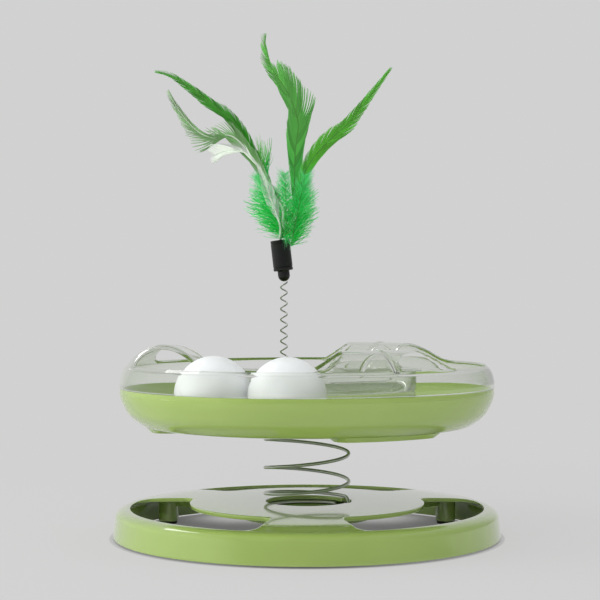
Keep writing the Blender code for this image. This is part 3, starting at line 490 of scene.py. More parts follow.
# Satin moulded ABS: a soft even sheen, with a grain that stands for the mould's sparked surface.
satin_green = moulded_material("satin_green_abs", ("7d9a4a", "8aa856"), [(0.8 * MM, 4.0, 0.5)],
                               bump=(0, 0.25, 0.04 * MM), Roughness=0.42, IOR=1.54)


def keeper_object(name, half, middle, bottom, screw_angles):
    outline = bean_outline(keeper_inner, keeper_outer, half, keeper_corner, middle, 64, 6)
    low, high = bottom - cutter_reach, bottom + keeper_thick + cutter_reach
    steps = []
    for angle in screw_angles:
        hole = turned("hole", [(0.0, low), (boss_hole, low), (boss_hole, high), (0.0, high)], 24, False)
        hole.transform(Matrix.Translation(polar(screw_circle, angle)))
        steps.append(("DIFFERENCE", hole))
    return carved(name, prism(name, outline, bottom, bottom + keeper_thick), steps, 0.25 * MM)


lower_keeper = keeper_object("lower_keeper_plate", math.radians(140.0), lower_keeper_middle,
                             lower_keeper_bottom, lower_screw_angles)
dressed(lower_keeper, "base", "keeper_plastic", satin_green, "lower_spring_keeper")
upper_keeper = keeper_object("upper_keeper_plate", math.radians(74.0), upper_keeper_middle,
                             upper_keeper_bottom, upper_screw_angles)
dressed(upper_keeper, "tray", "keeper_plastic", satin_green, "upper_spring_keeper")

# Screws: zinc-plated steel pan-head screws with a cross recess, driven up through the keepers.
# Geometry Nodes puts one at each point and turns each a little differently, as hand-driven screws are.
# The plating is bright metal with a faint cloudy bloom that dulls it in patches.
zinc = moulded_material("zinc_plated_steel", ("a9aaa8", "c6c5bf"), [(0.9 * MM, 4.0, 0.5)],
                        (0.3, 0.7, 0.28, 0.42), Metallic=1.0)
screw_sink = 0.3 * MM


def screw_template():
    """One screw that points up, its head below the origin, with a cross recess in the head."""
    head, tall, shank = 2.6 * MM, 1.6 * MM, 1.3 * MM
    core = shank * 0.78
    profile = [(0.0, -tall)]
    profile += [(head * math.sin(t), -tall * (0.35 + 0.65 * math.cos(t))) for t in np.linspace(0.35, 1.45, 7)]
    profile += [(head, -0.1 * MM), (head - 0.1 * MM, 0.0), (shank, 0.0)]
    thread_top, pitch = 4.6 * MM, 0.9 * MM
    height = 0.35 * MM
    while height < thread_top - pitch:
        profile += [(core, height), (core, height + 0.45 * pitch), (shank, height + 0.7 * pitch)]
        height += pitch
    profile += [(core, thread_top - 0.8 * MM), (0.0, thread_top)]
    body = turned("screw", profile, 28, False)
    slots = []
    reach, half = 1.35 * MM, 0.28 * MM
    for turn in (0.0, math.pi / 2.0):
        outline = [(-reach, -half), (reach, -half), (reach, half), (-reach, half)]
        slot_mesh = prism("slot", outline, -2.4 * MM, -0.75 * MM)
        slot_mesh.transform(Matrix.Rotation(turn, 4, "Z"))
        slots.append(("DIFFERENCE", slot_mesh))
    return carved("screw_template", body, slots)


def new_group(name, inputs, output):
    """A Geometry Nodes group with named inputs and one output, and its inputs as sockets."""
    tree = bpy.data.node_groups.new(name, "GeometryNodeTree")
    for label, kind in inputs.items():
        tree.interface.new_socket(label, in_out="INPUT", socket_type="NodeSocket" + kind)
    tree.interface.new_socket(output, in_out="OUTPUT", socket_type="NodeSocketGeometry")
    return tree, add_node(tree, "NodeGroupInput", {}).outputs


def set_inputs(modifier, **values):
    """Sets a Geometry Nodes modifier's inputs by their names, through their identifiers."""
    for item in modifier.node_group.interface.items_tree:
        if item.in_out == "INPUT" and item.name in values:
            modifier[item.identifier] = values[item.name]


def screw_tree():
    """Points in, one screw on each of them, turned by a seeded random angle."""
    inputs = {"Points": "Geometry", "Screw": "Object", "Seed": "Int", "Finish": "Material"}
    tree, given = new_group("screws_on_points", inputs, "Screws")
    shape = add_node(tree, "GeometryNodeObjectInfo", {}, Object=given["Screw"])
    spin = add_node(tree, "FunctionNodeRandomValue", {"data_type": "FLOAT"},
                    _2=0.0, _3=math.tau, Seed=given["Seed"])
    turn = add_node(tree, "ShaderNodeCombineXYZ", {}, Z=spin.outputs[1])
    screws = add_node(tree, "GeometryNodeInstanceOnPoints", {}, Points=given["Points"],
                      Instance=shape.outputs["Geometry"], Rotation=turn.outputs[0])
    solid = add_node(tree, "GeometryNodeRealizeInstances", {}, Geometry=screws.outputs[0])
    coated = add_node(tree, "GeometryNodeSetMaterial", {},
                      Geometry=solid.outputs[0], Material=given["Finish"])
    add_node(tree, "NodeGroupOutput", {}, Screws=coated.outputs[0])
    return tree


screw_shape, screw_nodes = screw_template(), screw_tree()
for name, body, keeper_bottom, angles, nodes, seed in (
    ("lower_screws", "base", lower_keeper_bottom, lower_screw_angles,
     ["lower_screw_1", "lower_screw_2", "lower_screw_3"], 3),
    ("upper_screws", "tray", upper_keeper_bottom, upper_screw_angles, ["upper_screw_1", "upper_screw_2"], 5),
):
    points = bpy.data.meshes.new(name)
    points.from_pydata([polar(screw_circle, angle, keeper_bottom - screw_sink) for angle in angles], [], [])
    carrier = plain_object(name + "_points", points)
    rows = carrier.modifiers.new("screws", "NODES")
    rows.node_group = screw_nodes
    set_inputs(rows, Screw=screw_shape, Seed=seed, Finish=zinc)
    dressed(plain_object(name, baked(carrier, name)), body, "screw_steel", zinc, *nodes)
bpy.data.objects.remove(screw_shape, do_unlink=True)

# The big spring: hard-drawn steel wire, 1.9 mm thick, coiled to 48 mm across with a wide pitch.
# A dead turn lies under the base, the wire climbs through a notch in the hole, works for four turns and ends
# under the tray. The drawing die leaves fine scratches along it, which stretch its highlights.
spring_radius, wire_radius = 23.2 * MM, 0.95 * MM
dead_low, spring_low, dead_high = 15.95 * MM, 20.65 * MM, 77.75 * MM
turns_low, turns_climb, turns_high, turns_soft = 0.82, 0.12, 0.55, 0.35
spring_split = 33.0 * MM
scratch_length, scratch_width = 9 * MM, 0.22 * MM


def wire_material():
    """Drawn spring steel: a plain metal, a little brighter and duller in streaks that run along the wire."""
    made, tree = new_material("drawn_spring_steel")
    wrap = add_node(tree, "ShaderNodeUVMap", {"uv_map": "along_wire"})
    stretched = add_node(tree, "ShaderNodeMapping", {}, Vector=wrap.outputs[0],
                         Scale=(1.0 / scratch_length, 1.0 / scratch_width, 1.0))
    drawn = add_node(tree, "ShaderNodeTexNoise", {}, Vector=stretched.outputs[0],
                     Scale=1.0, Detail=3.0, Roughness=0.6)
    tone = add_node(tree, "ShaderNodeMix", {"data_type": "RGBA"}, _0=drawn.outputs["Fac"],
                    _6=linear("c3c6bf"), _7=linear("dcdfd8"))
    dull = add_node(tree, "ShaderNodeMapRange", {}, Value=drawn.outputs["Fac"],
                    _1=0.3, _2=0.7, _3=0.28, _4=0.42)
    marks = add_node(tree, "ShaderNodeBump", {}, Height=drawn.outputs["Fac"],
                     Strength=0.3, Distance=0.02 * MM)
    shader = add_node(tree, "ShaderNodeBsdfPrincipled", {}, Base_Color=tone.outputs[2], Metallic=1.0,
                      Roughness=dull.outputs[0], Normal=marks.outputs[0])
    add_node(tree, "ShaderNodeOutputMaterial", {}, Surface=shader.outputs[0])
    return made


spring_steel = wire_material()


def round_wire_mesh(name, line, radius, sides=14):
    """A tube along a line, with rounded-off ends and a UV map in metres along and around the wire."""
    line = np.array(line)
    ahead = np.gradient(line, axis=0)
    ahead /= np.linalg.norm(ahead, axis=1)[:, None]
    start, end = ahead[0].copy(), ahead[-1].copy()
    line = np.vstack([line[0] - 0.3 * radius * start, line, line[-1] + 0.3 * radius * end])
    ahead = np.vstack([start, ahead, end])
    along = np.concatenate([[0.0], np.cumsum(np.linalg.norm(np.diff(line, axis=0), axis=1))])
    work = bmesh.new()
    wrap = work.loops.layers.uv.new("along_wire")
    rings = []
    for index, (place, forward) in enumerate(zip(line, ahead)):
        out = Vector(np.cross(forward, (0.0, 0.0, 1.0))).normalized()
        up = Vector(forward).cross(out)
        size = radius * (0.72 if index in (0, len(line) - 1) else 1.0)
        rings.append([work.verts.new(Vector(place) + size * (out * math.cos(a) + up * math.sin(a)))
                      for a in np.linspace(0.0, math.tau, sides, endpoint=False)])
    for face, corners in skinned(work, rings):
        for loop, (row, spot) in zip(face.loops, corners):
            loop[wrap].uv = (along[row], radius * math.tau * spot / sides)
    return smoothed(mesh_from(work, name), 50.0)


def travelled(turns):
    """How far the wire has climbed after so many working turns, with a soft start and end."""
    eased = turns_soft * (1.0 - math.exp(-turns / turns_soft))
    late = turns_soft * (math.exp(-(turns_work - turns) / turns_soft) - math.exp(-turns_work / turns_soft))
    return turns - eased - late


def spring_line(steps=64):
    first = spring_start - (turns_climb + turns_low) * math.tau
    total = turns_low + turns_climb + turns_work + turns_high
    line = []
    for turns in np.linspace(0.0, total, int(total * steps) + 1):
        climbed, worked = turns - turns_low, turns - turns_low - turns_climb
        if climbed <= 0.0:
            height = dead_low
        elif worked <= 0.0:
            share = climbed / turns_climb
            height = dead_low + (spring_low - dead_low) * share * share * (3.0 - 2.0 * share)
        elif worked <= turns_work:
            height = spring_low + (dead_high - spring_low) * travelled(worked) / travelled(turns_work)
        else:
            height = dead_high
        line.append(polar(spring_radius, first + turns * math.tau, height))
    return line


def sprung(piece, node):
    """Gives a coil the spring steel, hides the imported node it stands for and bakes its place into its mesh.
    """
    piece.data.materials.append(spring_steel)
    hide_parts(node)
    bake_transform(piece)


# The spring is cut in two where it passes the split height: its lowest turns, and the rest.
coil = spring_line()
split = next(i for i, place in enumerate(coil) if place[2] > spring_split)
foot_coil = plain_object("spring_foot", round_wire_mesh("spring_foot", coil[: split + 1], wire_radius))
sprung(foot_coil, "main_spring")
upper_coil = plain_object("spring_coil", round_wire_mesh("spring_coil", coil[split:], wire_radius))
sprung(upper_coil, "main_spring")

# Tray: one green ABS bowl, 207 mm across, with a ring-shaped track for the balls round a raised hub.
# A shallow lip under the rim takes the clear cover, and three shallow lobes stand proud under the floor.
tray_radius, tray_wall = 103.5 * MM, 1.4 * MM
track_inner, track_floor, tray_rim = 60.5 * MM, 62.0 * MM, 82.4 * MM
hub_roof, hub_ceiling, hub_fillet = 81.2 * MM, 79.0 * MM, 2.5 * MM
side_shares = [(1.0, 1.0), (0.998, 0.84), (0.988, 0.67), (0.963, 0.42), (0.94, 0.28), (0.907, 0.15),
               (0.868, 0.04), (0.82, 0.0)]
hood_middles = [math.radians(a) for a in (57.0, 177.0, 297.0)]
lobe_turn, lobe_bottom, lobe_top = math.radians(4.5), 59.3 * MM, 61.9 * MM


def rounded_through(points, between=6):
    """Points along a smooth curve through the given ones."""
    given = np.array(points)
    padded = np.vstack([2.0 * given[0] - given[1], given, 2.0 * given[-1] - given[-2]])
    curve = []
    for span in range(len(given) - 1):
        a, b, c, d = padded[span : span + 4]
        for t in np.linspace(0.0, 1.0, between, endpoint=False):
            bend = (2 * a - 5 * b + 4 * c - d) + t * (3 * b - a - 3 * c + d)
            curve.append(tuple(b + 0.5 * t * ((c - a) + t * bend)))
    return curve + [tuple(given[-1])]


def quarter(across, up, radius, start, end):
    return [(across + radius * math.cos(t), up + radius * math.sin(t)) for t in np.linspace(start, end, 6)]


def tray_outline():
    under = track_floor - 0.8 * MM
    depth = tray_rim - under
    step = tray_radius - 0.3 * MM
    lip = [(tray_radius - tray_wall, tray_rim), (tray_radius - 0.35 * MM, tray_rim),
           (step, tray_rim - 0.1 * MM), (step, tray_rim - 2.2 * MM),
           (tray_radius - 0.05 * MM, tray_rim - 2.45 * MM)]
    outside = rounded_through([(tray_radius * r, under + depth * z) for r, z in side_shares])[5:]
    inside = []
    for index, (r, z) in enumerate(reversed(side_shares)):
        slope = min(1.0, index / 3.0)
        inside.append((tray_radius * r - tray_wall * slope, under + depth * z + tray_wall * (1.0 - slope)))
    hub = [(0.0, hub_roof), (20.0 * MM, hub_roof), (40.0 * MM, hub_roof)]
    hub += quarter(track_inner - hub_fillet, hub_roof - hub_fillet, hub_fillet, math.pi / 2.0, 0.0)
    hub += [(track_inner, 72.0 * MM)]
    hub += quarter(track_inner + hub_fillet, track_floor + hub_fillet, hub_fillet, math.pi, 1.5 * math.pi)
    below = [(track_inner + hub_fillet, under), (track_inner - 0.6 * MM, under),
             (track_inner - tray_wall, under + 0.6 * MM), (track_inner - 1.5 * tray_wall, hub_ceiling),
             (0.0, hub_ceiling)]
    return hub + rounded_through(inside)[:-1] + lip + outside + below


lobes = []
for angle in hood_middles:
    middle = angle + lobe_turn
    low = bean_outline(66.2 * MM, 87.4 * MM, math.radians(21.6), 8.0 * MM, middle, 24, 8)
    high = bean_outline(65.0 * MM, 89.7 * MM, math.radians(24.0), 9.0 * MM, middle, 24, 8)
    lobes.append(("UNION", lofted("lobe", low, high, lobe_bottom, lobe_top)))
tray = carved("tray_bowl", turned("tray_bowl", tray_outline(), 216, False), lobes)
dressed(tray, "tray", "tray_plastic", tray_abs, "tray")

# Under the hub: six straight ribs that stiffen its roof, and two bosses that the upper screws bite into.
# All of it is moulded in one with the tray.
stay_top = 79.6 * MM
stays = [stiffener(34.2 * MM, 59.4 * MM, 73.8 * MM, stay_top, math.tau * index / 6.0) for index in range(6)]
for angle in upper_screw_angles:
    stays.append(round_post(boss_radius, 76.8 * MM, stay_top, polar(screw_circle, angle), boss_hole))
dressed(joined_object("tray_ribs", stays), "tray", "tray_plastic", tray_abs)

# Cover: clear polished styrene plastic, injection moulded 1.6 mm thick, with a level rim, three arched hoods
# over the track and three openings for a paw between them. A bead stiffens each hood's arch.
# It sits on the tray's lip.
cover_wall, cover_rim, cover_gap = 1.6 * MM, 95.2 * MM, 0.3 * MM
rim_radius = 99.4 * MM
hood_inner, hood_outer, hood_rise = 61.8 * MM, 98.8 * MM, 10.1 * MM
hood_flat, hood_foot = math.radians(17.0), math.radians(29.0)
opening_inner, opening_outer, opening_corner = 63.4 * MM, 98.4 * MM, 16.5 * MM
opening_half, opening_bottom, opening_top = math.radians(45.5), 84.4 * MM, 108.0 * MM
bead_radius = 1.45 * MM
wand_place = (-12.8 * MM, 0.0, 0.0)


def clear_material():
    """Clear styrene from a polished mould, with very faint scuffs and a trace of grey-green in its thickness.
    Rays that only light, and rays that were mirrored before, pass straight through it.
    That keeps the balls inside lit and its thick edges from going black."""
    made, tree = new_material("clear_styrene")
    coords = add_node(tree, "ShaderNodeTexCoord", {})
    scuffs = add_node(tree, "ShaderNodeTexNoise", {}, Vector=coords.outputs["Object"],
                      Scale=1.0 / (1.6 * MM), Detail=5.0)
    polish = add_node(tree, "ShaderNodeMapRange", {}, Value=scuffs.outputs["Fac"],
                      _1=0.4, _2=0.75, _3=0.01, _4=0.05)
    shader = add_node(tree, "ShaderNodeBsdfPrincipled", {}, Roughness=polish.outputs[0])
    for socket, value in (("Base Color", linear("fdfefc")), ("IOR", 1.56), ("Transmission Weight", 1.0)):
        shader.inputs[socket].default_value = value
    path = add_node(tree, "ShaderNodeLightPath", {})
    lighting = add_node(tree, "ShaderNodeMath", {"operation": "MAXIMUM"},
                        _0=path.outputs["Is Shadow Ray"], _1=path.outputs["Is Diffuse Ray"])
    deep = add_node(tree, "ShaderNodeMath", {"operation": "GREATER_THAN"},
                    _0=path.outputs["Glossy Depth"], _1=0.5)
    through = add_node(tree, "ShaderNodeMath", {"operation": "MAXIMUM"},
                       _0=lighting.outputs[0], _1=deep.outputs[0])
    tint = add_node(tree, "ShaderNodeMix", {"data_type": "RGBA"}, _0=deep.outputs[0],
                    _6=linear("f9faf8"), _7=linear("e6eae2"))
    passing = add_node(tree, "ShaderNodeBsdfTransparent", {}, Color=tint.outputs[2])
    mixed = add_node(tree, "ShaderNodeMixShader", {},
                     _0=through.outputs[0], _1=shader.outputs[0], _2=passing.outputs[0])
    add_node(tree, "ShaderNodeOutputMaterial", {}, Surface=mixed.outputs[0])
    return made


clear_plastic = clear_material()


def hood_lift(radius, angle):
    """How far the hoods raise the sheet at a place on it."""
    across = (radius - hood_inner) / (hood_outer - hood_inner)
    if not 0.0 < across < 1.0:
        return 0.0
    lift = 0.0
    for middle in hood_middles:
        away = abs((angle - middle + math.pi) % math.tau - math.pi)
        fall = min(1.0, max(0.0, (hood_foot - away) / (hood_foot - hood_flat)))
        lift = max(lift, fall * fall * (3.0 - 2.0 * fall))
    return hood_rise * math.sin(math.pi * across) ** 0.8 * lift


def cover_sheet():
    """The cover's middle sheet: up the side, over the rim, across the track and down into the hub."""
    half = cover_wall / 2.0
    foot, top = tray_rim + cover_gap, cover_rim - half
    side = rounded_through([((tray_radius - half) * r, foot + (top - foot) * z)
                            for r, z in ((1.0, 0.0), (0.999, 0.3), (0.991, 0.62), (0.976, 0.88))])
    corner = rounded_through([side[-1], (rim_radius - half, top)], 3)[1:]
    across = [(float(r), top) for r in np.linspace(rim_radius - half, hood_inner + half, 44)[1:]]
    hub = [(track_inner - 0.3 * MM, top - 0.9 * MM), (track_inner - half, top - 2.4 * MM),
           (track_inner - half, hub_roof + cover_gap)]
    mesh = turned("cover_sheet", side + corner + across + hub, 240, False)
    for vertex in mesh.vertices:
        x, y, z = vertex.co
        if z > cover_rim - cover_wall:
            vertex.co.z += hood_lift(math.hypot(x, y), math.atan2(y, x))
    return mesh


def cover_shell():
    """The sheet, thickened to the wall."""
    sheet = plain_object("cover_sheet", cover_sheet())
    wall = sheet.modifiers.new("wall", "SOLIDIFY")
    wall.thickness, wall.offset, wall.use_even_offset = cover_wall, 0.0, True
    work = bmesh.new()
    work.from_mesh(baked(sheet, "cover_wall"))
    bmesh.ops.remove_doubles(work, verts=work.verts, dist=0.002 * MM)
    return mesh_from(work, "cover_shell")


def disc(radius, bottom, top, sides, middle=(0.0, 0.0)):
    """A round plate whose faces meet in one point. A boss that stands on that point keeps a clean foot."""
    mesh = turned("disc", [(0.0, top), (radius, top), (radius, bottom), (0.0, bottom)], sides, False)
    for vertex in mesh.vertices:
        if math.hypot(*vertex.co[:2]) < 0.01 * MM:
            vertex.co.x, vertex.co.y = middle
    return mesh


hub_plate = disc(hood_inner + 0.8 * MM, cover_rim - cover_wall, cover_rim, 240, wand_place[:2])
cover_steps = [("UNION", hub_plate)]
for angle in hood_middles:
    outline = bean_outline(opening_inner, opening_outer, opening_half, opening_corner,
                           angle + math.pi / 3.0, 48, 14)
    cover_steps.append(("DIFFERENCE", prism("opening", outline, opening_bottom, opening_top)))
for angle in hood_middles:
    arch = [polar(r, angle, cover_rim - cover_wall / 2.0 + hood_lift(r, angle))
            for r in np.linspace(hood_inner, hood_outer, 72)]
    cover_steps.append(("UNION", round_wire_mesh("bead", arch, bead_radius, 16)))
plug_boss = disc(5.8 * MM, 94.4 * MM, 96.2 * MM, 48)
plug_socket = disc(3.0 * MM, 91.6 * MM, 98.5 * MM, 48)
for step, tool in (("UNION", plug_boss), ("DIFFERENCE", plug_socket)):
    tool.transform(Matrix.Translation(wand_place))
    cover_steps.append((step, tool))
cover = carved("cover_shell", cover_shell(), cover_steps, 0.35 * MM)
dressed(cover, "tray", "clear_plastic", clear_plastic, "track_cover")

# Balls: hollow white polypropylene, blow moulded, 40 mm across. Each has a faint parting line round it,
# a small gate mark, and a soft satin skin that lets a little light in.
ball_radius, parting_line, gate_depth = 20.0 * MM, 0.05 * MM, 0.25 * MM
ball_circle, ball_height = 81.5 * MM, 82.3 * MM
# Milky polypropylene from a satin mould: clouded a little inside, and dulled by a finer grain in its skin.
ball_white = moulded_material("white_polypropylene", ("ebeeef", "f4f6f7"),
                              [(9 * MM, 3.0, 0.5), (0.9 * MM, 4.0, 0.5)], (0.3, 0.7, 0.30, 0.40),
                              (1, 0.08, 0.05 * MM), IOR=1.49, Subsurface_Weight=0.25, Subsurface_Scale=1.0,
                              Subsurface_Radius=(2.2 * MM, 2.3 * MM, 2.4 * MM))


def ball_object(name, angle, tilt, spin):
    """A ball with a raised hair-line where the two halves of its mould met, and a gate mark on one pole."""
    middle = math.pi / 2.0
    profile = []
    for t in sorted([*np.linspace(0.0, math.pi, 61), *(middle + d for d in (-0.012, -0.006, 0.006, 0.012))]):
        raised = parting_line if abs(t - middle) < 0.007 else 0.0
        gate = -gate_depth if t < 0.055 else 0.0
        reach = ball_radius - parting_line + raised + gate
        profile.append((max(0.0, reach * math.sin(t)), reach * math.cos(t)))
    mesh = turned(name, profile, 96, False)
    mesh.transform(Matrix.Rotation(spin, 4, "Z") @ Matrix.Rotation(tilt, 4, "X"))
    mesh.transform(Matrix.Translation(polar(ball_circle, angle, ball_height)))
    mesh.shade_smooth()
    return plain_object(name, mesh)


for index, (degrees, tilt, spin) in enumerate(((234.0, 0.5, 0.9), (263.0, 1.15, -0.25)), 1):
    ball = ball_object("track_ball_%d" % index, math.radians(degrees), tilt, spin)
    dressed(ball, "ball_%d" % index, "ball_plastic", ball_white, "ball_%d" % index)

# Wand: a moulded clear plug with a domed top, pressed into the cover's boss, and a small coil of the same
# drawn wire as the big spring, which stands on the dome and carries the feathers' sleeve.
plug_seat, plug_dome = 96.5 * MM, 2.4 * MM
sleeve_middle, sleeve_neck = 144.4 * MM, 3.3 * MM
wand_radius, wand_wire, wand_play, wand_turns = 1.8 * MM, 0.4 * MM, 0.3 * MM, 7


def plug_object():
    """The plug from its dome down over the flange to the chamfered foot."""
    profile = [(plug_dome * math.cos(t), plug_seat + plug_dome * math.sin(t))
               for t in np.linspace(math.pi / 2.0, 0.523, 9)]
    profile[0] = (0.0, plug_seat + plug_dome)
    below = [(3.6, 1.2), (4.0, 1.1), (4.2, 0.8), (4.2, 0.0),
             (2.7, 0.0), (2.7, -5.5), (2.3, -6.0), (0.0, -6.0)]
    profile += [(r * MM, plug_seat + z * MM) for r, z in below]
    mesh = turned("wand_plug", profile, 48, False)
    mesh.transform(Matrix.Translation(wand_place))
    return plain_object("wand_stud", smoothed(mesh, 35.0))


dressed(plug_object(), "tray", "clear_plastic", clear_plastic, "wand_plug")


def wand_line(steps=40):
    """The coil's middle line, from where the wire rests on the plug's dome to where it meets the sleeve's."""
    low = plug_seat + math.sqrt((plug_dome + wand_play + wand_wire) ** 2 - wand_radius**2)
    high = sleeve_middle - math.sqrt((sleeve_neck + wand_play + wand_wire) ** 2 - wand_radius**2)
    line = []
    for index in range(wand_turns * steps + 1):
        x, y, _ = polar(wand_radius, math.tau * index / steps)
        line.append((x + wand_place[0], y, low + (high - low) * index / (wand_turns * steps)))
    return line


wand_coil = plain_object("wand_coil", round_wire_mesh("wand_coil", wand_line(), wand_wire, 12))
sprung(wand_coil, "wand_spring")

# The sleeve: black polypropylene, turned from rod, with a domed neck, a fine ring near each end of its wide
# part and a bore that holds the quills. It leans six and a half degrees to the left, as the wand rests.
# The turning leaves it smooth, with a faint grain from handling.
black_plastic = moulded_material("black_polypropylene", ("040705", "0a100b"), [(0.6 * MM, 4.0, 0.5)],
                                 (0.3, 0.7, 0.34, 0.48), (0, 0.2, 0.04 * MM), IOR=1.49)


def sleeve_object():
    neck, wide, bore = sleeve_neck, 5.4 * MM, 4.2 * MM
    neck_top, top, bore_floor = 2.7 * MM, 19.7 * MM, 14.7 * MM
    profile = [(0.0, bore_floor), (bore, bore_floor), (bore, top - 0.3 * MM), (bore + 0.3 * MM, top),
               (wide - 0.5 * MM, top), (wide - 0.15 * MM, top - 0.15 * MM), (wide, top - 0.5 * MM)]
    ring = wide - 0.25 * MM
    for height in (top - 1.6 * MM, neck_top + 1.9 * MM):
        profile += [(wide, height + 0.3 * MM), (ring, height + 0.15 * MM), (ring, height - 0.15 * MM),
                    (wide, height - 0.3 * MM)]
    profile += [(wide, neck_top + 0.5 * MM), (wide - 0.15 * MM, neck_top + 0.15 * MM),
                (wide - 0.5 * MM, neck_top), (neck + 0.3 * MM, neck_top), (neck, neck_top - 0.3 * MM)]
    profile += [(neck * math.cos(t), -neck * math.sin(t)) for t in np.linspace(0.0, math.pi / 2.0, 10)]
    profile[-1] = (0.0, -neck)
    mesh = turned("feather_sleeve", profile, 64, False)
    mesh.transform(Matrix.Rotation(math.radians(-6.5), 4, "Y"))
    mesh.transform(Matrix.Translation((wand_place[0], 0.0, sleeve_middle)))
    return plain_object("feather_sleeve", smoothed(mesh, 35.0))


dressed(sleeve_object(), "feathers", "ferrule_plastic", black_plastic, "feather_ferrule")

# Feathers: five dyed cock hackles glued into the sleeve. A hackle is a springy horn quill with a row of
# hair-fine barbs on each side that lie nearly along it, cling together in locks and part at the edges.
# Real barbs are finer than the picture can show, so these are as coarse as they need to be to show in it.
feather_seed, quill_sides = 7, 8
barb_spacing, barb_sweep, barb_start = 0.2 * MM, math.radians(19.0), 0.16
lock_length, layer_gap = 4.5 * MM, 1.6 * MM
sleeve_mouth = (-15.03 * MM, 163.97 * MM)
photo_middle, photo_level, photo_width = 307, 296, 600


def photo_point(across, down):
    """A point of the wand's plane, from the place in the photograph's frame where it shows."""
    share = camera_distance / (lens_share * photo_width)
    return ((across - photo_middle) * share, camera_height - (down - photo_level) * share)


def smooth_line(points, count):
    """Points read evenly from a smooth curve through the given ones, and the curve's length."""
    fine = np.array(rounded_through(points, 24))
    walked = np.concatenate([[0.0], np.cumsum(np.linalg.norm(np.diff(fine, axis=0), axis=1))])
    wanted = np.linspace(0.0, walked[-1], count)
    return np.column_stack([np.interp(wanted, walked, fine[:, k]) for k in range(fine.shape[1])]), walked[-1]


def strand_template(name, bow, curl, thick_share, steps):
    """One barb of unit size: it leaves the quill sideways (+X) and bends to run along it (+Z)."""
    mesh = bpy.data.meshes.new(name)
    points, outs = [], []
    for index in range(steps + 1):
        t = index / steps
        across = 1.0 - (1.0 - t) ** bow
        along = t ** 1.3
        lift = 0.16 * across * across + curl * math.sin(t * math.tau * 1.2) * t
        wide = 0.014 * (1.0 - t) + 0.008
        thick = thick_share * (1.0 - 0.55 * t)
        points += [(across + wide, lift, along - thick), (across - wide, lift, along + thick)]
        outs += [t, t]
    faces = [(2 * i, 2 * i + 1, 2 * i + 3, 2 * i + 2) for i in range(steps)]
    mesh.from_pydata(points, [], faces)
    mesh.attributes.new("out", "FLOAT", "POINT").data.foreach_set("value", outs)
    return bpy.data.objects.new(name, mesh)


def row_tree():
    """Sets a strand on every root point, turned and sized by the root's own values, and adds the quill."""
    inputs = {"Roots": "Geometry", "Strand": "Object", "Quill": "Object", "Ragged": "Float", "Seed": "Int",
              "Finish": "Material"}
    tree, given = new_group("barb_rows", inputs, "Feather")
    strand = add_node(tree, "GeometryNodeObjectInfo", {}, Object=given["Strand"])
    quill = add_node(tree, "GeometryNodeObjectInfo", {}, Object=given["Quill"])
    turn = add_node(tree, "GeometryNodeInputNamedAttribute", {"data_type": "FLOAT_VECTOR"}, Name="turn")
    reach = add_node(tree, "GeometryNodeInputNamedAttribute", {"data_type": "FLOAT_VECTOR"}, Name="reach")
    lowest = add_node(tree, "ShaderNodeMath", {"operation": "SUBTRACT"}, _0=1.0, _1=given["Ragged"])
    chance = add_node(tree, "FunctionNodeRandomValue", {"data_type": "FLOAT"},
                      _2=lowest.outputs[0], _3=1.0, Seed=given["Seed"])
    size = add_node(tree, "ShaderNodeVectorMath", {"operation": "SCALE"},
                    _0=reach.outputs[0], Scale=chance.outputs[1])
    rotation = add_node(tree, "FunctionNodeEulerToRotation", {}, Euler=turn.outputs[0])
    strands = add_node(tree, "GeometryNodeInstanceOnPoints", {},
                       Points=given["Roots"], Instance=strand.outputs["Geometry"],
                       Rotation=rotation.outputs[0], Scale=size.outputs[0])
    real = add_node(tree, "GeometryNodeRealizeInstances", {}, Geometry=strands.outputs[0])
    finished = add_node(tree, "GeometryNodeSetMaterial", {},
                        Geometry=real.outputs[0], Material=given["Finish"])
    joined = add_node(tree, "GeometryNodeJoinGeometry", {})
    tree.links.new(finished.outputs[0], joined.inputs[0])
    tree.links.new(quill.outputs["Geometry"], joined.inputs[0])
    add_node(tree, "NodeGroupOutput", {}, Feather=joined.outputs[0])
    return tree


barb_tree = row_tree()


def grown(name, roots, strand, quill, ragged, seed, finish):
    """Bakes one feather or tuft from its root points into a plain mesh object."""
    mesh = bpy.data.meshes.new(name + "_roots")
    mesh.from_pydata([root["place"] for root in roots], [], [])
    for label, kind, field in (("turn", "FLOAT_VECTOR", "vector"), ("reach", "FLOAT_VECTOR", "vector"),
                               ("along", "FLOAT", "value"), ("tone", "FLOAT", "value")):
        values = np.array([root[label] for root in roots], np.float32).ravel()
        mesh.attributes.new(label, kind, "POINT").data.foreach_set(field, values)
    source = plain_object(name + "_roots", mesh)
    rows = source.modifiers.new("barbs", "NODES")
    rows.node_group = barb_tree
    set_inputs(rows, Strand=strand, Quill=quill, Ragged=ragged, Seed=seed, Finish=finish)
    return plain_object(name, baked(source, name))


def quill_object(name, line, thick, finish):
    """A tapered round quill along a line of points."""
    work = bmesh.new()
    rings = []
    count = len(line)
    for index, place in enumerate(line):
        share = index / (count - 1)
        tangent = Vector(line[min(index + 1, count - 1)] - line[max(index - 1, 0)]).normalized()
        side = tangent.cross(Vector((0.0, 1.0, 0.0))).normalized()
        back = side.cross(tangent)
        radius = thick * (1.0 - 0.88 * share ** 0.8)
        rings.append([])
        for k in range(quill_sides):
            turn = math.tau * k / quill_sides
            out = math.cos(turn) * side + math.sin(turn) * back
            rings[-1].append(work.verts.new(Vector(place) + radius * out))
    skinned(work, rings)
    mesh = mesh_from(work, name)
    mesh.shade_smooth()
    along = np.repeat(np.linspace(0.0, 1.0, count), quill_sides).astype(np.float32)
    mesh.attributes.new("along", "FLOAT", "POINT").data.foreach_set("value", along)
    mesh.materials.append(finish)
    return bpy.data.objects.new(name, mesh)


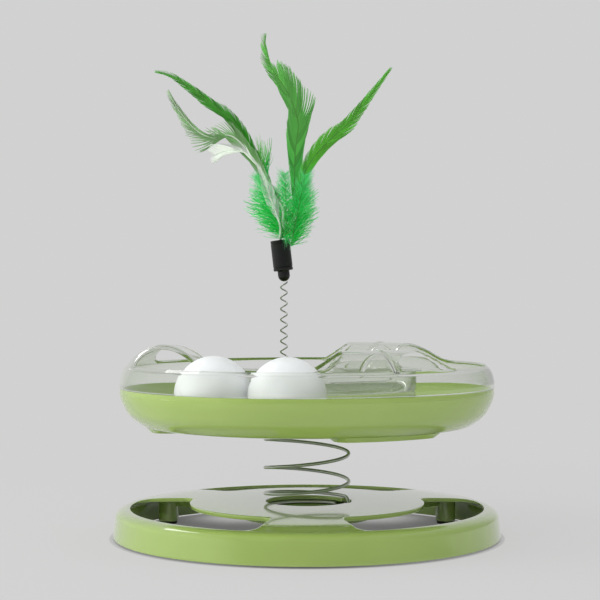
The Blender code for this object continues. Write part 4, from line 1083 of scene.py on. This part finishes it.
def line_at(line, share):
    """The point at a share of the line, and its direction there."""
    place = share * (len(line) - 1)
    low = min(int(place), len(line) - 2)
    t = place - low
    before, after = line[max(low - 1, 0)], line[min(low + 2, len(line) - 1)]
    return line[low] * (1.0 - t) + line[low + 1] * t, Vector(after - before).normalized()


def rooted(place, side, face, tangent, along, tone, reach):
    """One root point: where a barb stands, how it is turned and sized, and what shades it."""
    axes = Matrix((side, face, tangent)).transposed()
    return {"place": place, "turn": list(axes.to_euler()), "along": along, "tone": tone, "reach": reach}


def vane_roots(line, length, side_sign, widths, chance, roll):
    """Root points of one side's barbs, gathered in locks that share a lean, a length and a tone."""
    count = int(length * (1.0 - barb_start) / barb_spacing)
    roots = []
    lock_end, lock_middle, lock = barb_start, barb_start, {}
    for index in range(count):
        share = barb_start + (1.0 - barb_start) * (index + 0.5) / count
        if share > lock_end:
            size = lock_length * chance.uniform(0.5, 1.6) / length
            lock_middle, lock_end = share + size / 2.0, share + size
            lock = {"tone": chance.random(), "lift": chance.uniform(-0.4, 0.9),
                    "long": chance.uniform(0.93, 1.0)}
        place, tangent = line_at(line, share)
        half = float(np.interp(share, np.linspace(0.0, 1.0, len(widths)), widths))
        forward = max(half / math.tan(barb_sweep), 8.0 * MM) * lock["long"]
        forward += (lock_middle - share) * length * 0.35
        forward = min(forward, (1.0 - share) * length + 0.8 * MM)
        turn = Matrix.Rotation(roll + chance.gauss(0.0, 0.05), 3, tangent)
        normal = turn @ Vector((0.0, -1.0, 0.0))
        side = tangent.cross(normal).normalized() * side_sign
        roots.append(rooted(place, side, tangent.cross(side), tangent, share, lock["tone"],
                            (half * lock["long"], half * lock["lift"], forward)))
    return roots


def feather_material(name, root, middle, tip, edge):
    """Dyed keratin: satin, lets light through, brighter near the sleeve where the down took more dye."""
    made, tree = new_material(name)
    along = add_node(tree, "ShaderNodeAttribute", {"attribute_name": "along"})
    out = add_node(tree, "ShaderNodeAttribute", {"attribute_name": "out"})
    tone = add_node(tree, "ShaderNodeAttribute", {"attribute_name": "tone"})
    ramp = add_node(tree, "ShaderNodeValToRGB", {}, Fac=along.outputs["Fac"])
    ramp.color_ramp.elements.new(0.5)
    for element, place, colour in zip(ramp.color_ramp.elements, (0.12, 0.42, 0.95), (root, middle, tip)):
        element.position = place
        element.color = linear(colour)
    paler = add_node(tree, "ShaderNodeMapRange", {}, Value=out.outputs["Fac"],
                     _1=0.45, _2=1.0, _3=0.0, _4=0.35)
    faded = add_node(tree, "ShaderNodeMix", {"data_type": "RGBA"}, _0=paler.outputs[0],
                     _6=ramp.outputs["Color"], _7=linear(edge))
    lightness = add_node(tree, "ShaderNodeMapRange", {}, Value=tone.outputs["Fac"],
                         _1=0.0, _2=1.0, _3=0.78, _4=1.22)
    colour = add_node(tree, "ShaderNodeHueSaturation", {}, Color=faded.outputs[2], Value=lightness.outputs[0])
    shader = add_node(tree, "ShaderNodeBsdfPrincipled", {}, Base_Color=colour.outputs[0], Roughness=0.5,
                      IOR=1.45, Sheen_Weight=0.25)
    through = add_node(tree, "ShaderNodeBsdfTranslucent", {}, Color=colour.outputs[0])
    mixed = add_node(tree, "ShaderNodeMixShader", {}, _0=0.38, _1=shader.outputs[0], _2=through.outputs[0])
    add_node(tree, "ShaderNodeOutputMaterial", {}, Surface=mixed.outputs[0])
    return made


def quill_material(name, foot, tip):
    """Horn with a grown, waxy sheen, which took the dye like its barbs or was left bare."""
    made, tree = new_material(name)
    along = add_node(tree, "ShaderNodeAttribute", {"attribute_name": "along"})
    ramp = add_node(tree, "ShaderNodeValToRGB", {}, Fac=along.outputs["Fac"])
    for element, place, colour in zip(ramp.color_ramp.elements, (0.25, 0.8), (foot, tip)):
        element.position = place
        element.color = linear(colour)
    shader = add_node(tree, "ShaderNodeBsdfPrincipled", {}, Base_Color=ramp.outputs["Color"],
                      Roughness=0.35, IOR=1.54)
    add_node(tree, "ShaderNodeOutputMaterial", {}, Surface=shader.outputs[0])
    return made


barb = strand_template("barb", 1.4, 0.0, 0.028, 7)
bare_horn = quill_material("bare_quill", "e4ece0", "c9dcc0")
dyed_horn = quill_material("dyed_quill", "3f9a3a", "4f8428")
leaf_green = feather_material("dyed_hackle_leaf", "22c456", "62c452", "74c45e", "a4d496")
bright_green = feather_material("dyed_hackle_bright", "22c456", "68ca3a", "66c044", "a0d484")
deep_green = feather_material("dyed_hackle_deep", "30a848", "36a01c", "52a43c", "80be6c")
pale_green = feather_material("dyed_hackle_pale", "dcecd8", "88c474", "a4c498", "c8dcc0")
undyed = feather_material("undyed_hackle", "e6f2e8", "f2f7f0", "f4f8f2", "f4f8f2")

# A route holds places in the photograph's frame. Fan, thick and the widths on either side are in mm.
hackles = {
    "plume_centre": {
        "layer": 1, "fan": 45.0, "roll": 0.0, "finish": leaf_green, "thick": 0.45,
        "route": [(292, 215), (294, 190), (294.8, 158), (296.4, 140.4), (298, 124), (293.5, 106), (288, 93),
                  (280, 80), (271, 66), (266.5, 52), (264.8, 42), (265.4, 31.3)],
        "left": [0.5, 0.8, 1.6, 3.8, 6.2, 6.8, 6, 4.6, 3.2, 2.2, 0.3],
        "right": [0.5, 0.8, 2.2, 5.2, 7.4, 7.4, 6.8, 6.2, 1.6, 1, 0.3],
    },
    "plume_right": {
        "layer": 0, "fan": -30.0, "roll": 0.2, "finish": bright_green, "thick": 0.4,
        "route": [(294, 212), (301, 183), (310.2, 163), (322.4, 146.9), (342, 129), (358, 111), (376, 88.3),
                  (390.7, 69.2)],
        "left": [0.8, 1.2, 2, 3.4, 4.2, 4.2, 3.8, 2.8, 2, 1.2, 0.3],
        "right": [0.8, 1.2, 2.2, 4.4, 5.4, 5, 4.2, 3, 2, 1, 0.3],
    },
    "plume_left_long": {
        "layer": 2, "fan": 60.0, "roll": -0.2, "finish": deep_green, "thick": 0.5,
        "route": [(281, 207), (271.3, 190), (263.9, 172.9), (255.7, 158), (250.8, 148.5), (242.7, 133.9),
                  (231.3, 119), (215, 106), (195.5, 90.8), (172.8, 74.8), (153, 68)],
        "left": [1, 2, 3, 3.6, 4, 4.2, 4, 3.4, 2.6, 1.6, 0.3],
        "right": [1, 2, 2.6, 3, 3.2, 3.2, 3, 2.4, 1.8, 0.9, 0.3],
    },
    "plume_left_curled": {
        "layer": -1, "fan": -45.0, "roll": 0.25, "finish": pale_green, "thick": 0.9,
        "route": [(283, 212), (275, 198), (266, 181), (259, 168), (252, 158), (244, 147.5), (236, 139),
                  (227, 135.5), (216, 138.5), (205, 136), (194, 128.5), (183, 116), (175, 104),
                  (169.5, 92.8)],
        "left": [1, 1.5, 2, 2.5, 4, 5.6, 6.2, 5, 3.6, 2.6, 1.4, 0.3],
        "right": [1, 1.5, 2, 2.5, 3.4, 4, 4.4, 3.6, 2.8, 2.2, 1.4, 0.4],
    },
    "plume_white": {
        "layer": -3, "fan": 0.0, "roll": 0.3, "finish": undyed, "thick": 0.7,
        "route": [(280, 226), (275.5, 212), (268.5, 193), (261, 173), (253, 161), (246, 153), (237, 151),
                  (225, 152), (212.5, 157)],
        "left": [2.8, 3.8, 3.4, 1.6, 0.6, 2.4, 5.4, 4.6],
        "right": [2.8, 3.8, 3.4, 1.4, 0.6, 2.4, 4.6, 4.0],
    },
}
for seed, (name, hackle) in enumerate(hackles.items(), feather_seed):
    chance = random.Random(seed)
    flat, length = smooth_line([sleeve_mouth] + [photo_point(*place) for place in hackle["route"]], 96)
    shares = np.linspace(0.0, 1.0, len(flat))
    depth = hackle["layer"] * layer_gap + hackle["fan"] * MM * np.maximum(0.0, shares - 0.6) ** 2
    depth *= np.minimum(1.0, shares / 0.12)
    line = np.column_stack([flat[:, 0], depth, flat[:, 1]])
    horn = bare_horn if hackle["finish"] in (undyed, pale_green) else dyed_horn
    quill = quill_object(name + "_quill", line, hackle["thick"] * MM, horn)
    roots = []
    for sign, side in ((-1.0, "left"), (1.0, "right")):
        widths = [width * MM for width in hackle[side]]
        roots += vane_roots(line, length, sign, widths, chance, hackle["roll"])
    vane = grown(name + "_vane", roots, barb, quill, 0.12, seed, hackle["finish"])
    placed(vane, "feathers", "white_feather" if hackle["finish"] is undyed else "green_feather", name)

# Down: the soft, loose lower barbs of the hackles, which took the brightest dye.
# They stand out all round the quills in thin wavy strands and hang a little over the sleeve.
down_strand = strand_template("down_strand", 1.25, 0.10, 0.012, 10)
bright_down = feather_material("dyed_down", "06d850", "1ce264", "74e89c", "c4f4d0")
# Foot and head are places in the photograph's frame. Depth, reach, forward and hang are in mm, and towards
# and spread in degrees.
tufts = {
    "down_front_left": {
        "foot": (286, 238), "head": (262, 176), "depth": (-1.0, -3.5), "strands": 1000, "towards": 180.0,
        "spread": 55.0, "reach": (4.0, 13.0), "forward": (2.0, 13.0), "finish": bright_down,
    },
    "down_front_right": {
        "foot": (291, 246), "head": (305, 176), "depth": (-1.0, -4.5), "strands": 1500, "towards": 0.0,
        "spread": 75.0, "reach": (4.0, 10.0), "forward": (1.0, 12.0), "finish": bright_down,
    },
    "down_back": {
        "foot": (287, 242), "head": (285, 172), "depth": (1.0, 7.5), "strands": 900, "towards": 90.0,
        "spread": 100.0, "reach": (4.0, 10.0), "forward": (2.0, 12.0), "finish": bright_down,
    },
    "wisps": {
        "foot": (268, 178), "head": (258, 152), "depth": (1.0, 2.5), "strands": 90, "towards": 0.0,
        "spread": 35.0, "reach": (1.0, 8.0), "forward": (10.0, 24.0), "finish": leaf_green,
        "part_of": "down_back",
    },
    "fringe": {
        "foot": (291, 231), "head": (284, 237), "depth": (-6.0, -6.0), "strands": 110, "towards": -60.0,
        "spread": 80.0, "reach": (0.5, 2.6), "hang": (5.0, 15.0), "finish": bright_down,
        "part_of": "down_front_right",
    },
}
for order, (name, tuft) in enumerate(tufts.items()):
    chance = random.Random(100 + order)
    (x0, z0), (x1, z1) = photo_point(*tuft["foot"]), photo_point(*tuft["head"])
    y0, y1 = [depth * MM for depth in tuft["depth"]]
    line = np.array([(x0 + (x1 - x0) * t, y0 + (y1 - y0) * t, z0 + (z1 - z0) * t)
                     for t in np.linspace(0.0, 1.0, 12)])
    quill = quill_object(name + "_quill", line, 0.4 * MM, dyed_horn)
    roots = []
    for _ in range(tuft["strands"]):
        share = chance.random() ** 0.8
        place, tangent = line_at(line, share)
        if "hang" in tuft:
            tangent = Vector((0.05, 0.0, -1.0)).normalized()
        around = math.radians(tuft["towards"] + chance.gauss(0.0, 1.0) * tuft["spread"])
        side = Vector((math.cos(around), math.sin(around), 0.0))
        side = (side - tangent * side.dot(tangent)).normalized()
        reach = chance.uniform(*tuft["reach"]) * MM * (0.6 + 0.8 * math.sin(math.pi * min(1.0, 0.15 + share)))
        forward = chance.uniform(*tuft["hang" if "hang" in tuft else "forward"]) * MM * (1.0 - 0.5 * share)
        roots.append(rooted(place, side, tangent.cross(side), tangent, share * 0.8, chance.random(),
                            (reach, reach * chance.uniform(-1.0, 1.0), forward)))
    strands = grown(name + "_strands", roots, down_strand, quill, 0.35, 200 + order, tuft["finish"])
    placed(strands, "feathers", "green_feather", tuft.get("part_of", name))
